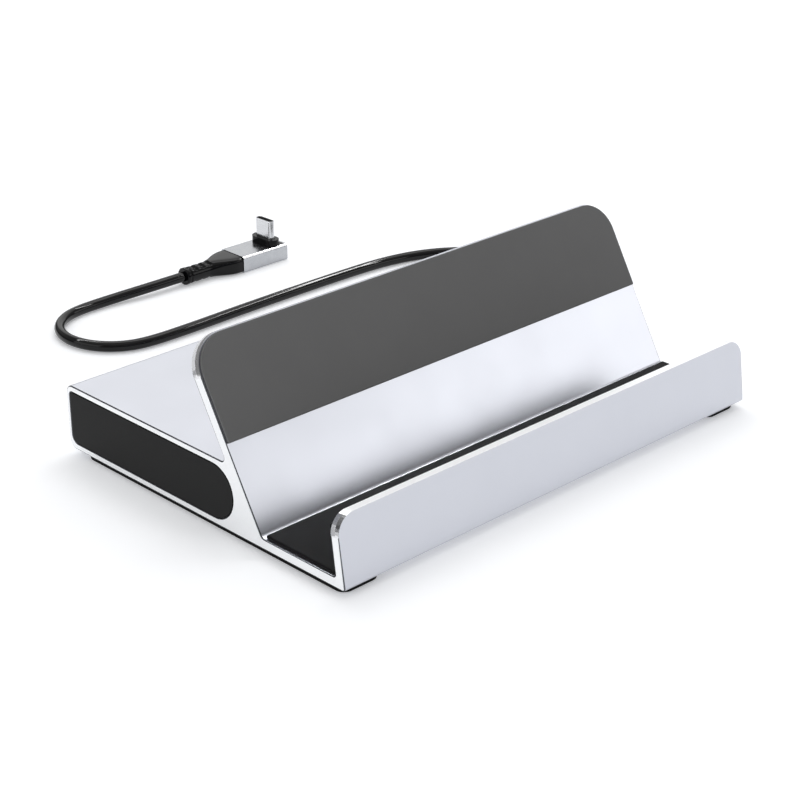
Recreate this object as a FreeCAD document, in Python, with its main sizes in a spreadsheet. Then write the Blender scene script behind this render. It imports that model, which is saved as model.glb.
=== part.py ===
import FreeCAD, Part
import math
import os

import Sketcher

# A desk dock that holds a closed laptop or a tablet on edge. One aluminium extrusion is the base box, the
# leaning backrest, the channel and the front lip. The circuit board and its sockets are inside the base box.
# Frame: +Z up, +X to the right and -Y to the front. The origin is on the desk, under the middle of the dock.

SIZES = [
    ("width", 160.0, "extrusion, left to right"),
    ("depth", 113.5, "extrusion, front to rear"),
    ("foot_height", 2.0, "rubber strips under the base"),
    ("foot_width", 13.0, "one foot strip, left to right"),
    ("foot_end_inset", 1.2, "foot strip from the end face"),
    ("foot_front_inset", 1.9, "foot strip from the front"),
    ("foot_rear_inset", 5.6, "foot strip from the rear"),
    ("foot_corner", 3.0, "corner radius of a foot strip"),
    ("base_floor", 1.9, "wall under the board"),
    ("base_roof", 1.85, "wall over the board"),
    ("rear_wall", 1.35, "wall with the sockets"),
    ("front_web", 7.1, "metal between the board space and the backrest's face"),
    ("rear_corner", 2.5, "outer radius along the rear edges"),
    ("inner_corner_low", 2.4, "board space, lower rear corner"),
    ("inner_corner_high", 1.3, "board space, upper rear corner"),
    ("channel_floor", 2.9, "metal under the channel"),
    ("channel_width", 27.6, "channel at its floor"),
    ("channel_corner", 1.5, "radius at the backrest's foot"),
    ("backrest_top", 49.1, "top of the backrest above the metal's underside"),
    ("backrest_lean", 30.0, "degrees back from upright"),
    ("backrest_wall", 3.2, "thickness of the backrest"),
    ("backrest_corner", 10.0, "top corners of the backrest"),
    ("root_radius", 1.2, "where the backrest's rear meets the roof"),
    ("lip_top", 19.5, "top of the lip above the metal's underside"),
    ("lip_lean", 7.9, "degrees back from upright"),
    ("lip_wall", 2.9, "thickness of the lip"),
    ("lip_corner", 5.5, "top corners of the lip"),
    ("edge_radius", 0.8, "small outer radius of the extrusion"),
    ("rest_pad_height", 27.6, "backrest pad, along the backrest"),
    ("rest_pad_thickness", 1.0, "backrest pad"),
    ("rest_pad_inset", 0.4, "backrest pad from the plate's edges"),
    ("channel_pad_thickness", 1.0, "channel pad"),
    ("channel_pad_rise", 13.5, "channel pad, up the lip"),
    ("channel_pad_end_inset", 0.7, "channel pad from the end face"),
    ("channel_pad_foot_gap", 0.9, "channel pad from the backrest"),
    ("channel_pad_gap", 0.02, "glue under the channel pad"),
    ("channel_pad_corner", 0.4, "inner bend of the channel pad"),
    ("cap_thickness", 2.0, "end cap's plate"),
    ("cap_rim_depth", 2.5, "end cap's rim"),
    ("cap_rim_wall", 1.4, "end cap's rim"),
    ("cap_rim_step", 0.1, "end cap's rim inside its plate"),
    ("cap_clearance", 0.15, "end cap in its opening"),
    ("board_thickness", 1.2, "circuit board"),
    ("board_end_gap", 5.0, "board from the end face"),
    ("board_front_gap", 8.0, "board from the front of its space"),
    ("board_rear_gap", 0.6, "board from the rear wall"),
    ("standoff_height", 2.2, "board above the floor"),
    ("standoff_radius", 2.25, "brass standoff"),
    ("screw_radius", 1.2, "2.5 mm screw, over its thread"),
    ("screw_clearance", 0.1, "hole around a screw"),
    ("screw_fit", 0.02, "screw in its threaded hole, and its head under the surface"),
    ("screw_head_radius", 2.3, "head of each screw"),
    ("screw_head_height", 1.1, "head of each screw"),
    ("screw_bite", 0.95, "length of a screw inside its standoff"),
    ("screw_row_inset", 6.0, "screws from the board's long edges"),
    ("head_seat_gap", 0.05, "depth of a head's seat beyond the head"),
    ("board_corner", 1.0, "corners of the board"),
    ("converter_side", 7.0, "video chip"),
    ("network_chip_side", 6.0, "network chip"),
    ("power_chip_side", 5.0, "power chip"),
    ("hub_chip_side", 9.0, "hub chip"),
    ("chip_height", 0.9, "chips above or below the board"),
    ("chip_corner", 0.2, "upright edges of a chip"),
    ("thermal_margin", 1.0, "thermal pad beyond the hub chip"),
    ("coil_side", 5.0, "power coil"),
    ("coil_height", 3.0, "power coil"),
    ("can_radius", 2.5, "capacitor"),
    ("can_height", 5.4, "capacitor"),
    ("transformer_length", 14.0, "network transformer, left to right"),
    ("transformer_depth", 7.0, "network transformer, front to rear"),
    ("transformer_height", 4.0, "network transformer"),
    ("transformer_gap", 1.5, "network transformer from its jack"),
    ("port_margin", 20.0, "first socket from the right end"),
    ("port_gap", 6.5, "between two sockets"),
    ("port_clearance", 0.15, "socket in its cut-out"),
    ("port_recess", 0.2, "socket behind the rear face"),
    ("port_solder_gap", 0.05, "socket above the board"),
    ("jack_width", 16.0, "network jack"),
    ("jack_height", 11.6, "network jack"),
    ("jack_depth", 16.0, "network jack"),
    ("jack_shield", 0.4, "network jack's shield"),
    ("jack_roof_gap", 0.55, "roof above the network jack"),
    ("jack_mouth_width", 11.9, "network jack's opening"),
    ("jack_mouth_height", 7.0, "network jack's opening"),
    ("jack_mouth_depth", 12.5, "network jack's opening"),
    ("latch_width", 6.4, "notch for the plug's latch"),
    ("latch_height", 1.5, "notch for the plug's latch"),
    ("contact_pitch", 1.02, "network jack's contacts"),
    ("contact_width", 0.4, "network jack's contacts"),
    ("contact_reach", 9.1, "network jack's contacts, front to rear"),
    ("contact_drop", 1.8, "network jack's contacts, top to root"),
    ("jack_mouth_rise", 2.6, "network jack's opening above its underside"),
    ("jack_body_recess", 0.3, "moulded body behind its shield's mouth"),
    ("latch_depth", 8.0, "notch for the plug's latch"),
    ("data_width", 13.1, "wide data socket, outside"),
    ("data_height", 5.7, "wide data socket, outside"),
    ("data_depth", 14.0, "wide data socket"),
    ("video_width", 15.0, "video socket, outside"),
    ("video_height", 5.6, "video socket, outside"),
    ("video_depth", 11.5, "video socket"),
    ("power_width", 8.94, "oval power socket, outside"),
    ("power_height", 3.2, "oval power socket, outside"),
    ("power_depth", 8.5, "oval power socket"),
    ("shell_wall", 0.3, "sheet of a socket's shell"),
    ("shell_corner", 0.4, "bends of a socket's shell"),
    ("insert_gap", 0.05, "moulded insert in its shell"),
    ("tongue_setback", 1.5, "a tongue behind its socket's mouth"),
    ("tongue_side_gap", 1.0, "a tongue from its socket's sides"),
    ("data_tongue", 1.4, "thickness of a wide data socket's tongue"),
    ("data_tongue_drop", 2.2, "its underside below the shell's roof"),
    ("video_tongue", 1.1, "thickness of the video socket's tongue"),
    ("power_tongue", 0.7, "thickness of the power socket's tongue"),
    ("insert_back", 2.4, "moulded block at the back of a socket"),
    ("video_notch", 1.6, "slope at the video socket's lower corners"),
    ("chip_row", 9.0, "chips from the board's front edge"),
    ("chip_pitch", 27.0, "between two chips"),
    ("coil_row", 21.0, "coils and capacitors from the board's front edge"),
    ("cable_radius", 1.75, "the link cable"),
    ("exit_depth_y", 30.0, "cable's exit, behind the middle"),
    ("exit_height", 10.4, "cable's exit above the desk"),
    ("relief_length", 14.0, "strain relief outside the cap"),
    ("relief_radius", 3.6, "strain relief at the cap"),
    ("relief_tip_radius", 2.5, "strain relief at its tip"),
    ("relief_neck_radius", 2.8, "strain relief through the cap"),
    ("relief_flange_radius", 3.9, "strain relief inside the cap"),
    ("relief_flange", 2.0, "strain relief inside the cap"),
    ("relief_shoulder", 3.0, "strain relief's thick ring outside the cap"),
    ("relief_step", 0.3, "from the thick ring to the taper"),
    ("relief_gap", 0.05, "strain relief in its hole and over the cap"),
    ("lead_block_place", 19.0, "moulded end of the cable from the end face"),
    ("lead_block", 7.0, "moulded end of the cable on the board"),
    ("lead_block_width", 8.0, "moulded end of the cable on the board"),
    ("lead_block_wall", 0.8, "moulded end over the cable"),
    ("plug_left", 46.0, "left end of the plug's housing"),
    ("plug_middle_y", 137.3, "middle of the plug's housing"),
    ("plug_length", 20.0, "plug's housing"),
    ("plug_width", 12.2, "plug's housing"),
    ("plug_height", 6.0, "plug's housing"),
    ("plug_corner", 0.8, "long edges of the plug's housing"),
    ("plug_wall", 0.7, "wall of the plug's housing"),
    ("plug_gap", 0.05, "between the plug's own pieces"),
    ("boot_length", 22.0, "moulded boot behind the housing"),
    ("boot_waist", 0.5, "share of the boot's length where it starts to widen"),
    ("boot_shoulder", 0.2, "share of its length where it is nearly as wide as the housing"),
    ("boot_flare", 0.7, "share of the widening that is done at that shoulder"),
    ("boot_step", 0.1, "boot's wide end inside the housing's outline"),
    ("boot_neck_step", 0.4, "boot's narrow end lower than the housing"),
    ("boot_neck_corner", 2.6, "rounding of the boot's narrow half"),
    ("deck_step", 1.0, "black top of the plug inside the housing's outline"),
    ("tip_from_end", 4.8, "plug's tip from the housing's end"),
    ("tip_width", 8.34, "metal tip, standard"),
    ("tip_thickness", 2.56, "metal tip, standard"),
    ("tip_length", 6.5, "metal tip above its collar"),
    ("tip_wall", 0.3, "metal tip"),
    ("tip_slot", 0.9, "slot inside the tip"),
    ("tip_lining", 0.6, "moulding at the ends of the slot"),
    ("tip_lining_drop", 0.4, "moulding below the tip's mouth"),
    ("collar_width", 10.8, "black collar round the tip"),
    ("collar_thickness", 4.6, "black collar round the tip"),
    ("collar_height", 2.3, "collar above the housing"),
    ("collar_brim", 0.4, "collar's brim over the housing, beyond its neck"),
]

# The cable lies where it was left on the desk: out of the right end, round behind the dock and back in one
# open loop. Each point is chosen by hand. The last one is at the boot's narrow end.
ROUTE = [
    (94.0, 30.0, 10.4),
    (104.5, 30.0, 10.4),
    (114.6, 33.6, 7.0),
    (122.2, 41.2, 3.2),
    (126.2, 52.6, 1.9),
    (126.4, 65.6, 1.85),
    (122.2, 78.8, 1.85),
    (113.4, 90.0, 1.85),
    (101.0, 98.2, 1.85),
    (85.5, 102.3, 1.85),
    (62.0, 103.0, 1.85),
    (26.0, 102.7, 1.85),
    (-3.0, 101.7, 1.85),
    (-19.5, 102.0, 1.85),
    (-27.5, 105.5, 1.85),
    (-33.1, 112.2, 1.85),
    (-35.1, 120.7, 1.85),
    (-33.2, 129.2, 1.85),
    (-27.6, 135.9, 1.85),
    (-19.6, 139.5, 1.85),
    (-5.5, 139.8, 1.9),
    (10.0, 137.3, 3.0),
    (24.0, 137.3, 3.0),
]
ARC_SHARE = 0.45
# Just under a half, so that a round end still has a straight edge for the sketch to hold.
HALF = 0.499
SMALL_RADIUS = 0.2
# Wires in the network jack.
CONTACTS = 8
# Cuts start this far outside the solid that they cut.
CLEAR = 0.5

doc = FreeCAD.newDocument("laptop_dock")
sheet = doc.addObject("Spreadsheet::Sheet", "sizes")
for row, (alias, value, note) in enumerate(SIZES, 1):
    sheet.set(f"A{row}", note)
    sheet.set(f"B{row}", str(value))
    sheet.setAlias(f"B{row}", alias)
doc.recompute()

parts = []


def size(alias):
    """The sheet's value of one driving dimension."""
    return float(getattr(sheet, alias))


def number(expression):
    """What an expression over the sheet comes to."""
    result = sheet.evalExpression(str(expression))
    return float(getattr(result, "Value", result))


# Places that several pieces share, as expressions over the sheet.
RIGHT = "(sizes.width / 2)"
REAR = "(sizes.depth / 2)"
BASE = "sizes.foot_height"
CHAMBER_LOW = f"({BASE} + sizes.base_floor)"
BOARD_LOW = f"({CHAMBER_LOW} + sizes.standoff_height)"
BOARD_TOP = f"({BOARD_LOW} + sizes.board_thickness)"
PORT_LOW = f"({BOARD_TOP} + sizes.port_solder_gap)"
CHAMBER_HIGH = f"({BOARD_TOP} + sizes.jack_height + sizes.jack_roof_gap)"
ROOF = f"({CHAMBER_HIGH} + sizes.base_roof)"
CHAMBER_MIDDLE = f"(({CHAMBER_LOW} + {CHAMBER_HIGH}) / 2)"
CHANNEL = f"({BASE} + sizes.channel_floor)"
LIP_SLOPE = "tan(sizes.lip_lean)"
REST_SLOPE = "tan(sizes.backrest_lean)"
LIP_FACE = f"(-{REAR} + sizes.channel_floor * {LIP_SLOPE} + sizes.lip_wall / cos(sizes.lip_lean))"
REST_FOOT = f"({LIP_FACE} + sizes.channel_width)"
REST_LENGTH = "((sizes.backrest_top - sizes.channel_floor) / cos(sizes.backrest_lean))"
CHAMBER_FRONT = f"({REST_FOOT} + ({CHAMBER_MIDDLE} - {CHANNEL}) * {REST_SLOPE} + sizes.front_web)"
CHAMBER_REAR = f"({REAR} - sizes.rear_wall)"
BOARD_FRONT = f"({CHAMBER_FRONT} + sizes.board_front_gap)"
BOARD_REAR = f"({CHAMBER_REAR} - sizes.board_rear_gap)"
BOARD_END = f"({RIGHT} - sizes.board_end_gap)"
PORT_FACE = f"({REAR} - sizes.port_recess)"
SCREW_X = f"({RIGHT} - sizes.foot_end_inset - sizes.foot_width / 2)"
TIP_X = "(sizes.plug_left + sizes.plug_length - sizes.tip_from_end)"

PLANES = {
    "XY": {"role": "XY_Plane", "offset": 1, "pad_flip": False},
    "XZ": {"role": "XZ_Plane", "offset": -1, "pad_flip": True},
    "YZ": {"role": "YZ_Plane", "offset": 1, "pad_flip": False},
}


def new_body(label):
    """An empty body that will be one sub-part."""
    body = doc.addObject("PartDesign::Body", label)
    body.Label = label
    parts.append(body)
    return body


def new_sketch(body, plane, start, name):
    """A sketch on one of the body's own origin planes, moved to `start` along that plane's axis."""
    sketch = body.newObject("Sketcher::SketchObject", name)
    role = PLANES[plane]["role"]
    origin_plane = [item for item in body.Origin.OriginFeatures if item.Role == role][0]
    sketch.AttachmentSupport = [(origin_plane, "")]
    sketch.MapMode = "FlatFace"
    sketch.setExpression("AttachmentOffset.Base.z", f"{PLANES[plane]['offset']} * ({start})")
    return sketch


def hold(sketch, name, kind, where, expression):
    """Add one dimension to a sketch and bind it to the sheet."""
    index = sketch.addConstraint(Sketcher.Constraint(kind, *where, number(expression)))
    sketch.renameConstraint(index, name)
    sketch.setExpression(f"Constraints.{name}", str(expression))


def draw_polygon(sketch, corners, tag="c"):
    """Draw a closed outline. Each corner is (u, v, radius); a radius of 0 leaves it sharp."""
    spots = [FreeCAD.Vector(number(u), number(v), 0) for u, v, _ in corners]
    radii = [number(radius) for _, _, radius in corners]
    count = len(corners)
    ends = []
    arcs = []
    for index, here in enumerate(spots):
        back = (spots[index - 1] - here).normalize()
        ahead = (spots[(index + 1) % count] - here).normalize()
        if radii[index] == 0:
            ends.append((here, here))
            arcs.append(None)
            continue
        half_angle = back.getAngle(ahead) / 2
        reach = radii[index] / math.tan(half_angle)
        centre = here + (back + ahead).normalize() * (radii[index] / math.sin(half_angle))
        entry = here + back * reach
        leave = here + ahead * reach
        ends.append((entry, leave))
        turns_left = ahead.cross(back).z > 0
        first, last = (entry, leave) if turns_left else (leave, entry)
        from_angle, to_angle = (math.atan2(spot.y - centre.y, spot.x - centre.x) for spot in (first, last))
        ring = Part.Circle(centre, FreeCAD.Vector(0, 0, 1), radii[index])
        arcs.append((Part.ArcOfCircle(ring, from_angle, to_angle), turns_left))
    lines = []
    for index in range(count):
        start = ends[index][1]
        finish = ends[(index + 1) % count][0]
        lines.append(sketch.addGeometry(Part.LineSegment(start, finish), False))
    for index, (u, v, radius) in enumerate(corners):
        before = lines[index - 1]
        after = lines[index]
        name = f"{tag}{index}"
        if arcs[index] is None:
            sketch.addConstraint(Sketcher.Constraint("Coincident", before, 2, after, 1))
            hold(sketch, f"{name}u", "DistanceX", (-1, 1, after, 1), u)
            hold(sketch, f"{name}v", "DistanceY", (-1, 1, after, 1), v)
            continue
        arc, turns_left = arcs[index]
        turn = sketch.addGeometry(arc, False)
        spot = sketch.addGeometry(Part.Point(spots[index]), True)
        first, last = (1, 2) if turns_left else (2, 1)
        sketch.addConstraint(Sketcher.Constraint("Tangent", before, 2, turn, first))
        sketch.addConstraint(Sketcher.Constraint("Tangent", turn, last, after, 1))
        sketch.addConstraint(Sketcher.Constraint("PointOnObject", spot, 1, before))
        sketch.addConstraint(Sketcher.Constraint("PointOnObject", spot, 1, after))
        hold(sketch, f"{name}u", "DistanceX", (-1, 1, spot, 1), u)
        hold(sketch, f"{name}v", "DistanceY", (-1, 1, spot, 1), v)
        hold(sketch, f"{name}r", "Radius", (turn,), radius)


def draw_circle(sketch, u, v, radius, tag="c"):
    """Draw one full circle."""
    centre = FreeCAD.Vector(number(u), number(v), 0)
    ring = sketch.addGeometry(Part.Circle(centre, FreeCAD.Vector(0, 0, 1), number(radius)), False)
    hold(sketch, f"{tag}u", "DistanceX", (-1, 1, ring, 3), u)
    hold(sketch, f"{tag}v", "DistanceY", (-1, 1, ring, 3), v)
    hold(sketch, f"{tag}r", "Radius", (ring,), radius)


def rectangle(low_u, low_v, high_u, high_v, radius="0"):
    """The four corners of a rectangle, all rounded alike."""
    low = [(low_u, low_v, radius), (high_u, low_v, radius)]
    return low + [(high_u, high_v, radius), (low_u, high_v, radius)]


def oval(middle_u, middle_v, width, height):
    """A flat oval: a rectangle whose short sides are round."""
    low_u = f"({middle_u} - ({width}) / 2)"
    high_u = f"({middle_u} + ({width}) / 2)"
    low_v = f"({middle_v} - ({height}) / 2)"
    high_v = f"({middle_v} + ({height}) / 2)"
    return rectangle(low_u, low_v, high_u, high_v, f"({HALF} * min({width}; {height}))")


def extrude(body, kind, plane, start, length, outlines=(), circles=(), name="shape"):
    """Pad or pocket outlines from `start` over `length`, along the plane's axis, towards its plus end."""
    sketch = new_sketch(body, plane, start, f"{name}_sketch")
    for index, corners in enumerate(outlines):
        draw_polygon(sketch, corners, f"c{index}_")
    for index, circle in enumerate(circles):
        draw_circle(sketch, *circle, f"r{index}_")
    before = body.Tip.Shape.Volume if body.Tip else 0.0
    feature = body.newObject(f"PartDesign::{kind}", name)
    feature.Profile = sketch
    flip = PLANES[plane]["pad_flip"]
    feature.Reversed = flip if kind == "Pad" else not flip
    feature.setExpression("Length", str(length))
    sketch.Visibility = False
    doc.recompute()
    grown = feature.Shape.Volume - before
    if (kind == "Pad") != (grown > 0):
        raise RuntimeError(f"{body.Label}: {name} changed the volume by {grown:.3f} mm3")
    return feature


def round_edges(body, radius, chosen, name):
    """Fillet the edges of the body's tip that `chosen` accepts."""
    base = body.Tip
    names = [f"Edge{index}" for index, edge in enumerate(base.Shape.Edges, 1) if chosen(edge)]
    feature = body.newObject("PartDesign::Fillet", name)
    feature.Base = (base, names)
    feature.setExpression("Radius", radius)
    doc.recompute()
    return feature


def block(label, low, high, radius="0", plane="XY"):
    """A plain block with its edges along one axis rounded."""
    body = new_body(label)
    axes = {"XY": (0, 1, 2), "XZ": (0, 2, 1), "YZ": (1, 2, 0)}[plane]
    u, v, along = axes
    outline = rectangle(low[u], low[v], high[u], high[v], radius)
    extrude(body, "Pad", plane, low[along], f"({high[along]}) - ({low[along]})", [outline])
    return body


def around(middle, width):
    """The two ends of a length centred on `middle`."""
    return f"({middle} - ({width}) / 2)", f"({middle} + ({width}) / 2)"


# ---- the extrusion and what is fitted to its outside ----

def chamber_outline(inset="0"):
    """The board space's section in YZ, drawn in by `inset`."""
    low = f"({CHAMBER_LOW} + {inset})"
    high = f"({CHAMBER_HIGH} - {inset})"
    front = f"({CHAMBER_FRONT} + {inset})"
    rear = f"({CHAMBER_REAR} - {inset})"
    nose = f"({HALF} * ({high} - {low}))"
    return [
        (front, low, nose),
        (rear, low, f"max(sizes.inner_corner_low - {inset}; {SMALL_RADIUS})"),
        (rear, high, f"max(sizes.inner_corner_high - {inset}; {SMALL_RADIUS})"),
        (front, high, nose),
    ]


def extrusion_outline():
    """The whole section in YZ: base box, backrest, channel and lip."""
    lean = "sizes.backrest_lean"
    rest_rise = f"({BASE} + sizes.backrest_top)"
    rest_front = f"({REST_FOOT} + {REST_LENGTH} * sin({lean}))"
    rest_back = f"({rest_front} + sizes.backrest_wall * cos({lean}))"
    rest_back_rise = f"({rest_rise} - sizes.backrest_wall * sin({lean}))"
    root = f"({REST_FOOT} + ({ROOF} - {CHANNEL}) * {REST_SLOPE} + sizes.backrest_wall / cos({lean}))"
    lip_rise = f"({BASE} + sizes.lip_top)"
    lip_outer = f"(-{REAR} + sizes.lip_top * {LIP_SLOPE})"
    lip_inner = f"({lip_outer} + sizes.lip_wall * cos(sizes.lip_lean))"
    lip_inner_rise = f"({lip_rise} - sizes.lip_wall * sin(sizes.lip_lean))"
    return [
        (f"-{REAR}", BASE, "sizes.edge_radius"),
        (REAR, BASE, "sizes.rear_corner"),
        (REAR, ROOF, "sizes.rear_corner"),
        (root, ROOF, "sizes.root_radius"),
        (rest_back, rest_back_rise, "0"),
        (rest_front, rest_rise, "0"),
        (REST_FOOT, CHANNEL, "sizes.channel_corner"),
        (LIP_FACE, CHANNEL, "sizes.edge_radius"),
        (lip_inner, lip_inner_rise, "0"),
        (lip_outer, lip_rise, "0"),
    ]


def is_top_corner(rise, reach):
    """Accept the short edges across a plate's thickness, at the end faces and near height `rise`."""
    end = number(RIGHT)

    def accepts(edge):
        if len(edge.Vertexes) != 2:
            return False
        first, last = edge.Vertexes
        at_end = abs(abs(first.X) - end) < 1e-4 and abs(first.X - last.X) < 1e-4
        return at_end and all(rise - reach < spot.Z < rise + 1e-4 for spot in (first, last))

    return accepts


def make_extrusion(cut_outs):
    """The aluminium body with its board space, socket cut-outs and countersunk screw holes."""
    body = new_body("chassis_extrusion")
    left = f"-{RIGHT}"
    extrude(body, "Pad", "YZ", left, "sizes.width", [extrusion_outline()], name="section")
    rest = number(f"{BASE} + sizes.backrest_top")
    rest_reach = number("sizes.backrest_wall * sin(sizes.backrest_lean) + 0.01")
    round_edges(body, "sizes.backrest_corner", is_top_corner(rest, rest_reach), "backrest_corners")
    lip = number(f"{BASE} + sizes.lip_top")
    lip_reach = number("sizes.lip_wall * sin(sizes.lip_lean) + 0.01")
    lip_edge = is_top_corner(lip, lip_reach)
    lip_limit = number(LIP_FACE) + number("sizes.lip_top * tan(sizes.lip_lean)")

    def lip_corner(edge):
        return lip_edge(edge) and edge.Vertexes[0].Y < lip_limit

    round_edges(body, "sizes.lip_corner", lip_corner, "lip_corners")
    extrude(body, "Pocket", "YZ", left, "sizes.width", [chamber_outline()], name="board_space")
    inside = f"({REAR} - sizes.rear_wall - {CLEAR})"
    through = f"(sizes.rear_wall + 2 * {CLEAR})"
    extrude(body, "Pocket", "XZ", inside, through, cut_outs, name="socket_cut_outs")
    hole = "(sizes.screw_radius + sizes.screw_clearance)"
    sink = "(sizes.screw_head_radius + sizes.screw_clearance)"
    sink_depth = f"(sizes.screw_head_height + sizes.head_seat_gap + {CLEAR})"
    hole_depth = f"(sizes.base_floor + 2 * {CLEAR})"
    below = f"({BASE} - {CLEAR})"
    holes = [(x, y, hole) for x, y in screw_places()]
    sinks = [(x, y, sink) for x, y in screw_places()]
    extrude(body, "Pocket", "XY", below, hole_depth, circles=holes, name="screw_holes")
    extrude(body, "Pocket", "XY", below, sink_depth, circles=sinks, name="head_seats")


def make_end_caps():
    """Moulded caps that plug both ends of the board space; the right one lets the cable out."""
    outer = chamber_outline("sizes.cap_clearance")
    rim = chamber_outline("(sizes.cap_clearance + sizes.cap_rim_step)")
    hollow = chamber_outline("(sizes.cap_clearance + sizes.cap_rim_wall)")
    ring = "(sizes.relief_neck_radius + sizes.relief_gap)"
    for label, side in (("left_end_cap", -1), ("right_end_cap", 1)):
        body = new_body(label)
        plate_low = f"-{RIGHT}" if side < 0 else f"({RIGHT} - sizes.cap_thickness)"
        rim_low = f"(-{RIGHT} + sizes.cap_thickness)" if side < 0 else f"({plate_low} - sizes.cap_rim_depth)"
        extrude(body, "Pad", "YZ", plate_low, "sizes.cap_thickness", [outer], name="plate")
        extrude(body, "Pad", "YZ", rim_low, "sizes.cap_rim_depth", [rim], name="rim")
        extrude(body, "Pocket", "YZ", rim_low, "sizes.cap_rim_depth", [hollow], name="rim_hollow")
        if side > 0:
            exit_ring = [("sizes.exit_depth_y", "sizes.exit_height", ring)]
            through = f"(sizes.cap_thickness + 2 * {CLEAR})"
            extrude(body, "Pocket", "YZ", f"({plate_low} - {CLEAR})", through, circles=exit_ring, name="exit")


def make_backrest_pad():
    """Grey silicone on the upper backrest, with the plate's own top corners."""
    body = new_body("backrest_pad")
    end = f"({RIGHT} - sizes.rest_pad_inset)"
    top = f"({REST_LENGTH} - sizes.rest_pad_inset)"
    low = f"({top} - sizes.rest_pad_height)"
    corner = "(sizes.backrest_corner - sizes.rest_pad_inset)"
    outline = [(f"-{end}", low, "0"), (end, low, "0"), (end, top, corner), (f"-{end}", top, corner)]
    extrude(body, "Pad", "XZ", "(-sizes.rest_pad_thickness)", "sizes.rest_pad_thickness", [outline])
    turn = FreeCAD.Rotation(FreeCAD.Vector(1, 0, 0), -size("backrest_lean"))
    body.Placement = FreeCAD.Placement(FreeCAD.Vector(0, 0, 0), turn)
    body.setExpression("Placement.Base.y", REST_FOOT)
    body.setExpression("Placement.Base.z", CHANNEL)
    body.setExpression("Placement.Rotation.Angle", "-sizes.backrest_lean")


def make_channel_pad():
    """Black silicone on the channel's floor that turns up the lip's inner face."""
    body = new_body("channel_pad")
    thick = "sizes.channel_pad_thickness"
    low = f"({CHANNEL} + sizes.channel_pad_gap)"
    top = f"({low} + {thick})"
    rise = f"({CHANNEL} + sizes.channel_pad_rise)"
    lip_low = f"({LIP_FACE} + 2 * sizes.channel_pad_gap)"
    lip_rise = f"({lip_low} + sizes.channel_pad_rise * {LIP_SLOPE})"
    across = f"({thick} / cos(sizes.lip_lean))"
    rear = f"({REST_FOOT} - sizes.channel_pad_foot_gap)"
    bend = "sizes.edge_radius"
    outline = [
        (rear, low, "0"),
        (rear, top, "0"),
        (f"({lip_low} + {across} + {thick} * {LIP_SLOPE})", top, "sizes.channel_pad_corner"),
        (f"({lip_rise} + {across})", rise, "0"),
        (lip_rise, rise, "0"),
        (lip_low, low, bend),
    ]
    start = f"(-{RIGHT} + sizes.channel_pad_end_inset)"
    length = "(sizes.width - 2 * sizes.channel_pad_end_inset)"
    extrude(body, "Pad", "YZ", start, length, [outline])


def make_foot_strips():
    """One rubber strip under each end."""
    front = f"(-{REAR} + sizes.foot_front_inset)"
    rear = f"({REAR} - sizes.foot_rear_inset)"
    for label, side in (("left_foot_strip", "-1"), ("right_foot_strip", "1")):
        low, high = around(f"{side} * {SCREW_X}", "sizes.foot_width")
        block(label, (low, front, "0"), (high, rear, "sizes.foot_height"), "sizes.foot_corner")


# ---- the board and what is fastened to it ----

def screw_places():
    """The four screws, hidden under the foot strips."""
    front = f"({BOARD_FRONT} + sizes.screw_row_inset)"
    rear = f"({BOARD_REAR} - sizes.screw_row_inset)"
    return [(f"({side} * {SCREW_X})", y) for side in ("-1", "1") for y in (front, rear)]


def make_board():
    """The circuit board, on four standoffs."""
    body = block(
        "main_board",
        (f"-{BOARD_END}", BOARD_FRONT, BOARD_LOW),
        (BOARD_END, BOARD_REAR, BOARD_TOP),
        "sizes.board_corner",
    )
    holes = [(x, y, "(sizes.screw_radius + sizes.screw_clearance)") for x, y in screw_places()]
    length = f"(sizes.board_thickness + 2 * {CLEAR})"
    extrude(body, "Pocket", "XY", f"({BOARD_LOW} - {CLEAR})", length, circles=holes, name="holes")


def cylinder(name, x, y, z, radius, height):
    """An upright cylinder bound to the sheet."""
    item = doc.addObject("Part::Cylinder", name)
    item.setExpression("Radius", radius)
    item.setExpression("Height", height)
    item.setExpression("Placement.Base.x", x)
    item.setExpression("Placement.Base.y", y)
    item.setExpression("Placement.Base.z", z)
    return item


def group(label, members):
    """Several like pieces that share one node."""
    item = doc.addObject("Part::Compound", label)
    item.Label = label
    item.Links = members
    parts.append(item)
    return item


def make_fasteners():
    """Brass standoffs, countersunk base screws from below and pan-head board screws from above."""
    sleeves = []
    base_screws = []
    board_screws = []
    bore = "(sizes.screw_radius + sizes.screw_fit)"
    head = "sizes.screw_head_radius"
    head_height = "sizes.screw_head_height"
    shank = "sizes.screw_radius"
    for index, (x, y) in enumerate(screw_places()):
        size_names = ("sizes.standoff_radius", "sizes.standoff_height")
        outer = cylinder(f"sleeve_{index}", x, y, CHAMBER_LOW, *size_names)
        inner = cylinder(f"sleeve_bore_{index}", x, y, CHAMBER_LOW, bore, "sizes.standoff_height")
        sleeve = doc.addObject("Part::Cut", f"standoff_{index}")
        sleeve.Base = outer
        sleeve.Tool = inner
        sleeves.append(sleeve)
        low = f"({BASE} + sizes.screw_fit)"
        length = "(sizes.base_floor + sizes.screw_bite - sizes.screw_fit)"
        base_head = cylinder(f"base_head_{index}", x, y, low, head, head_height)
        base_shank = cylinder(f"base_shank_{index}", x, y, low, shank, length)
        base_screws.append(fuse(f"base_screw_{index}", base_head, base_shank))
        top_low = f"({BOARD_TOP} - sizes.board_thickness - sizes.screw_bite)"
        top_length = f"(sizes.board_thickness + sizes.screw_bite + {SMALL_RADIUS})"
        top_head = cylinder(f"board_head_{index}", x, y, BOARD_TOP, head, head_height)
        top_shank = cylinder(f"board_shank_{index}", x, y, top_low, shank, top_length)
        board_screws.append(fuse(f"board_screw_{index}", top_head, top_shank))
    group("board_standoffs", sleeves)
    group("base_screws", base_screws)
    group("board_screws", board_screws)


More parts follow.
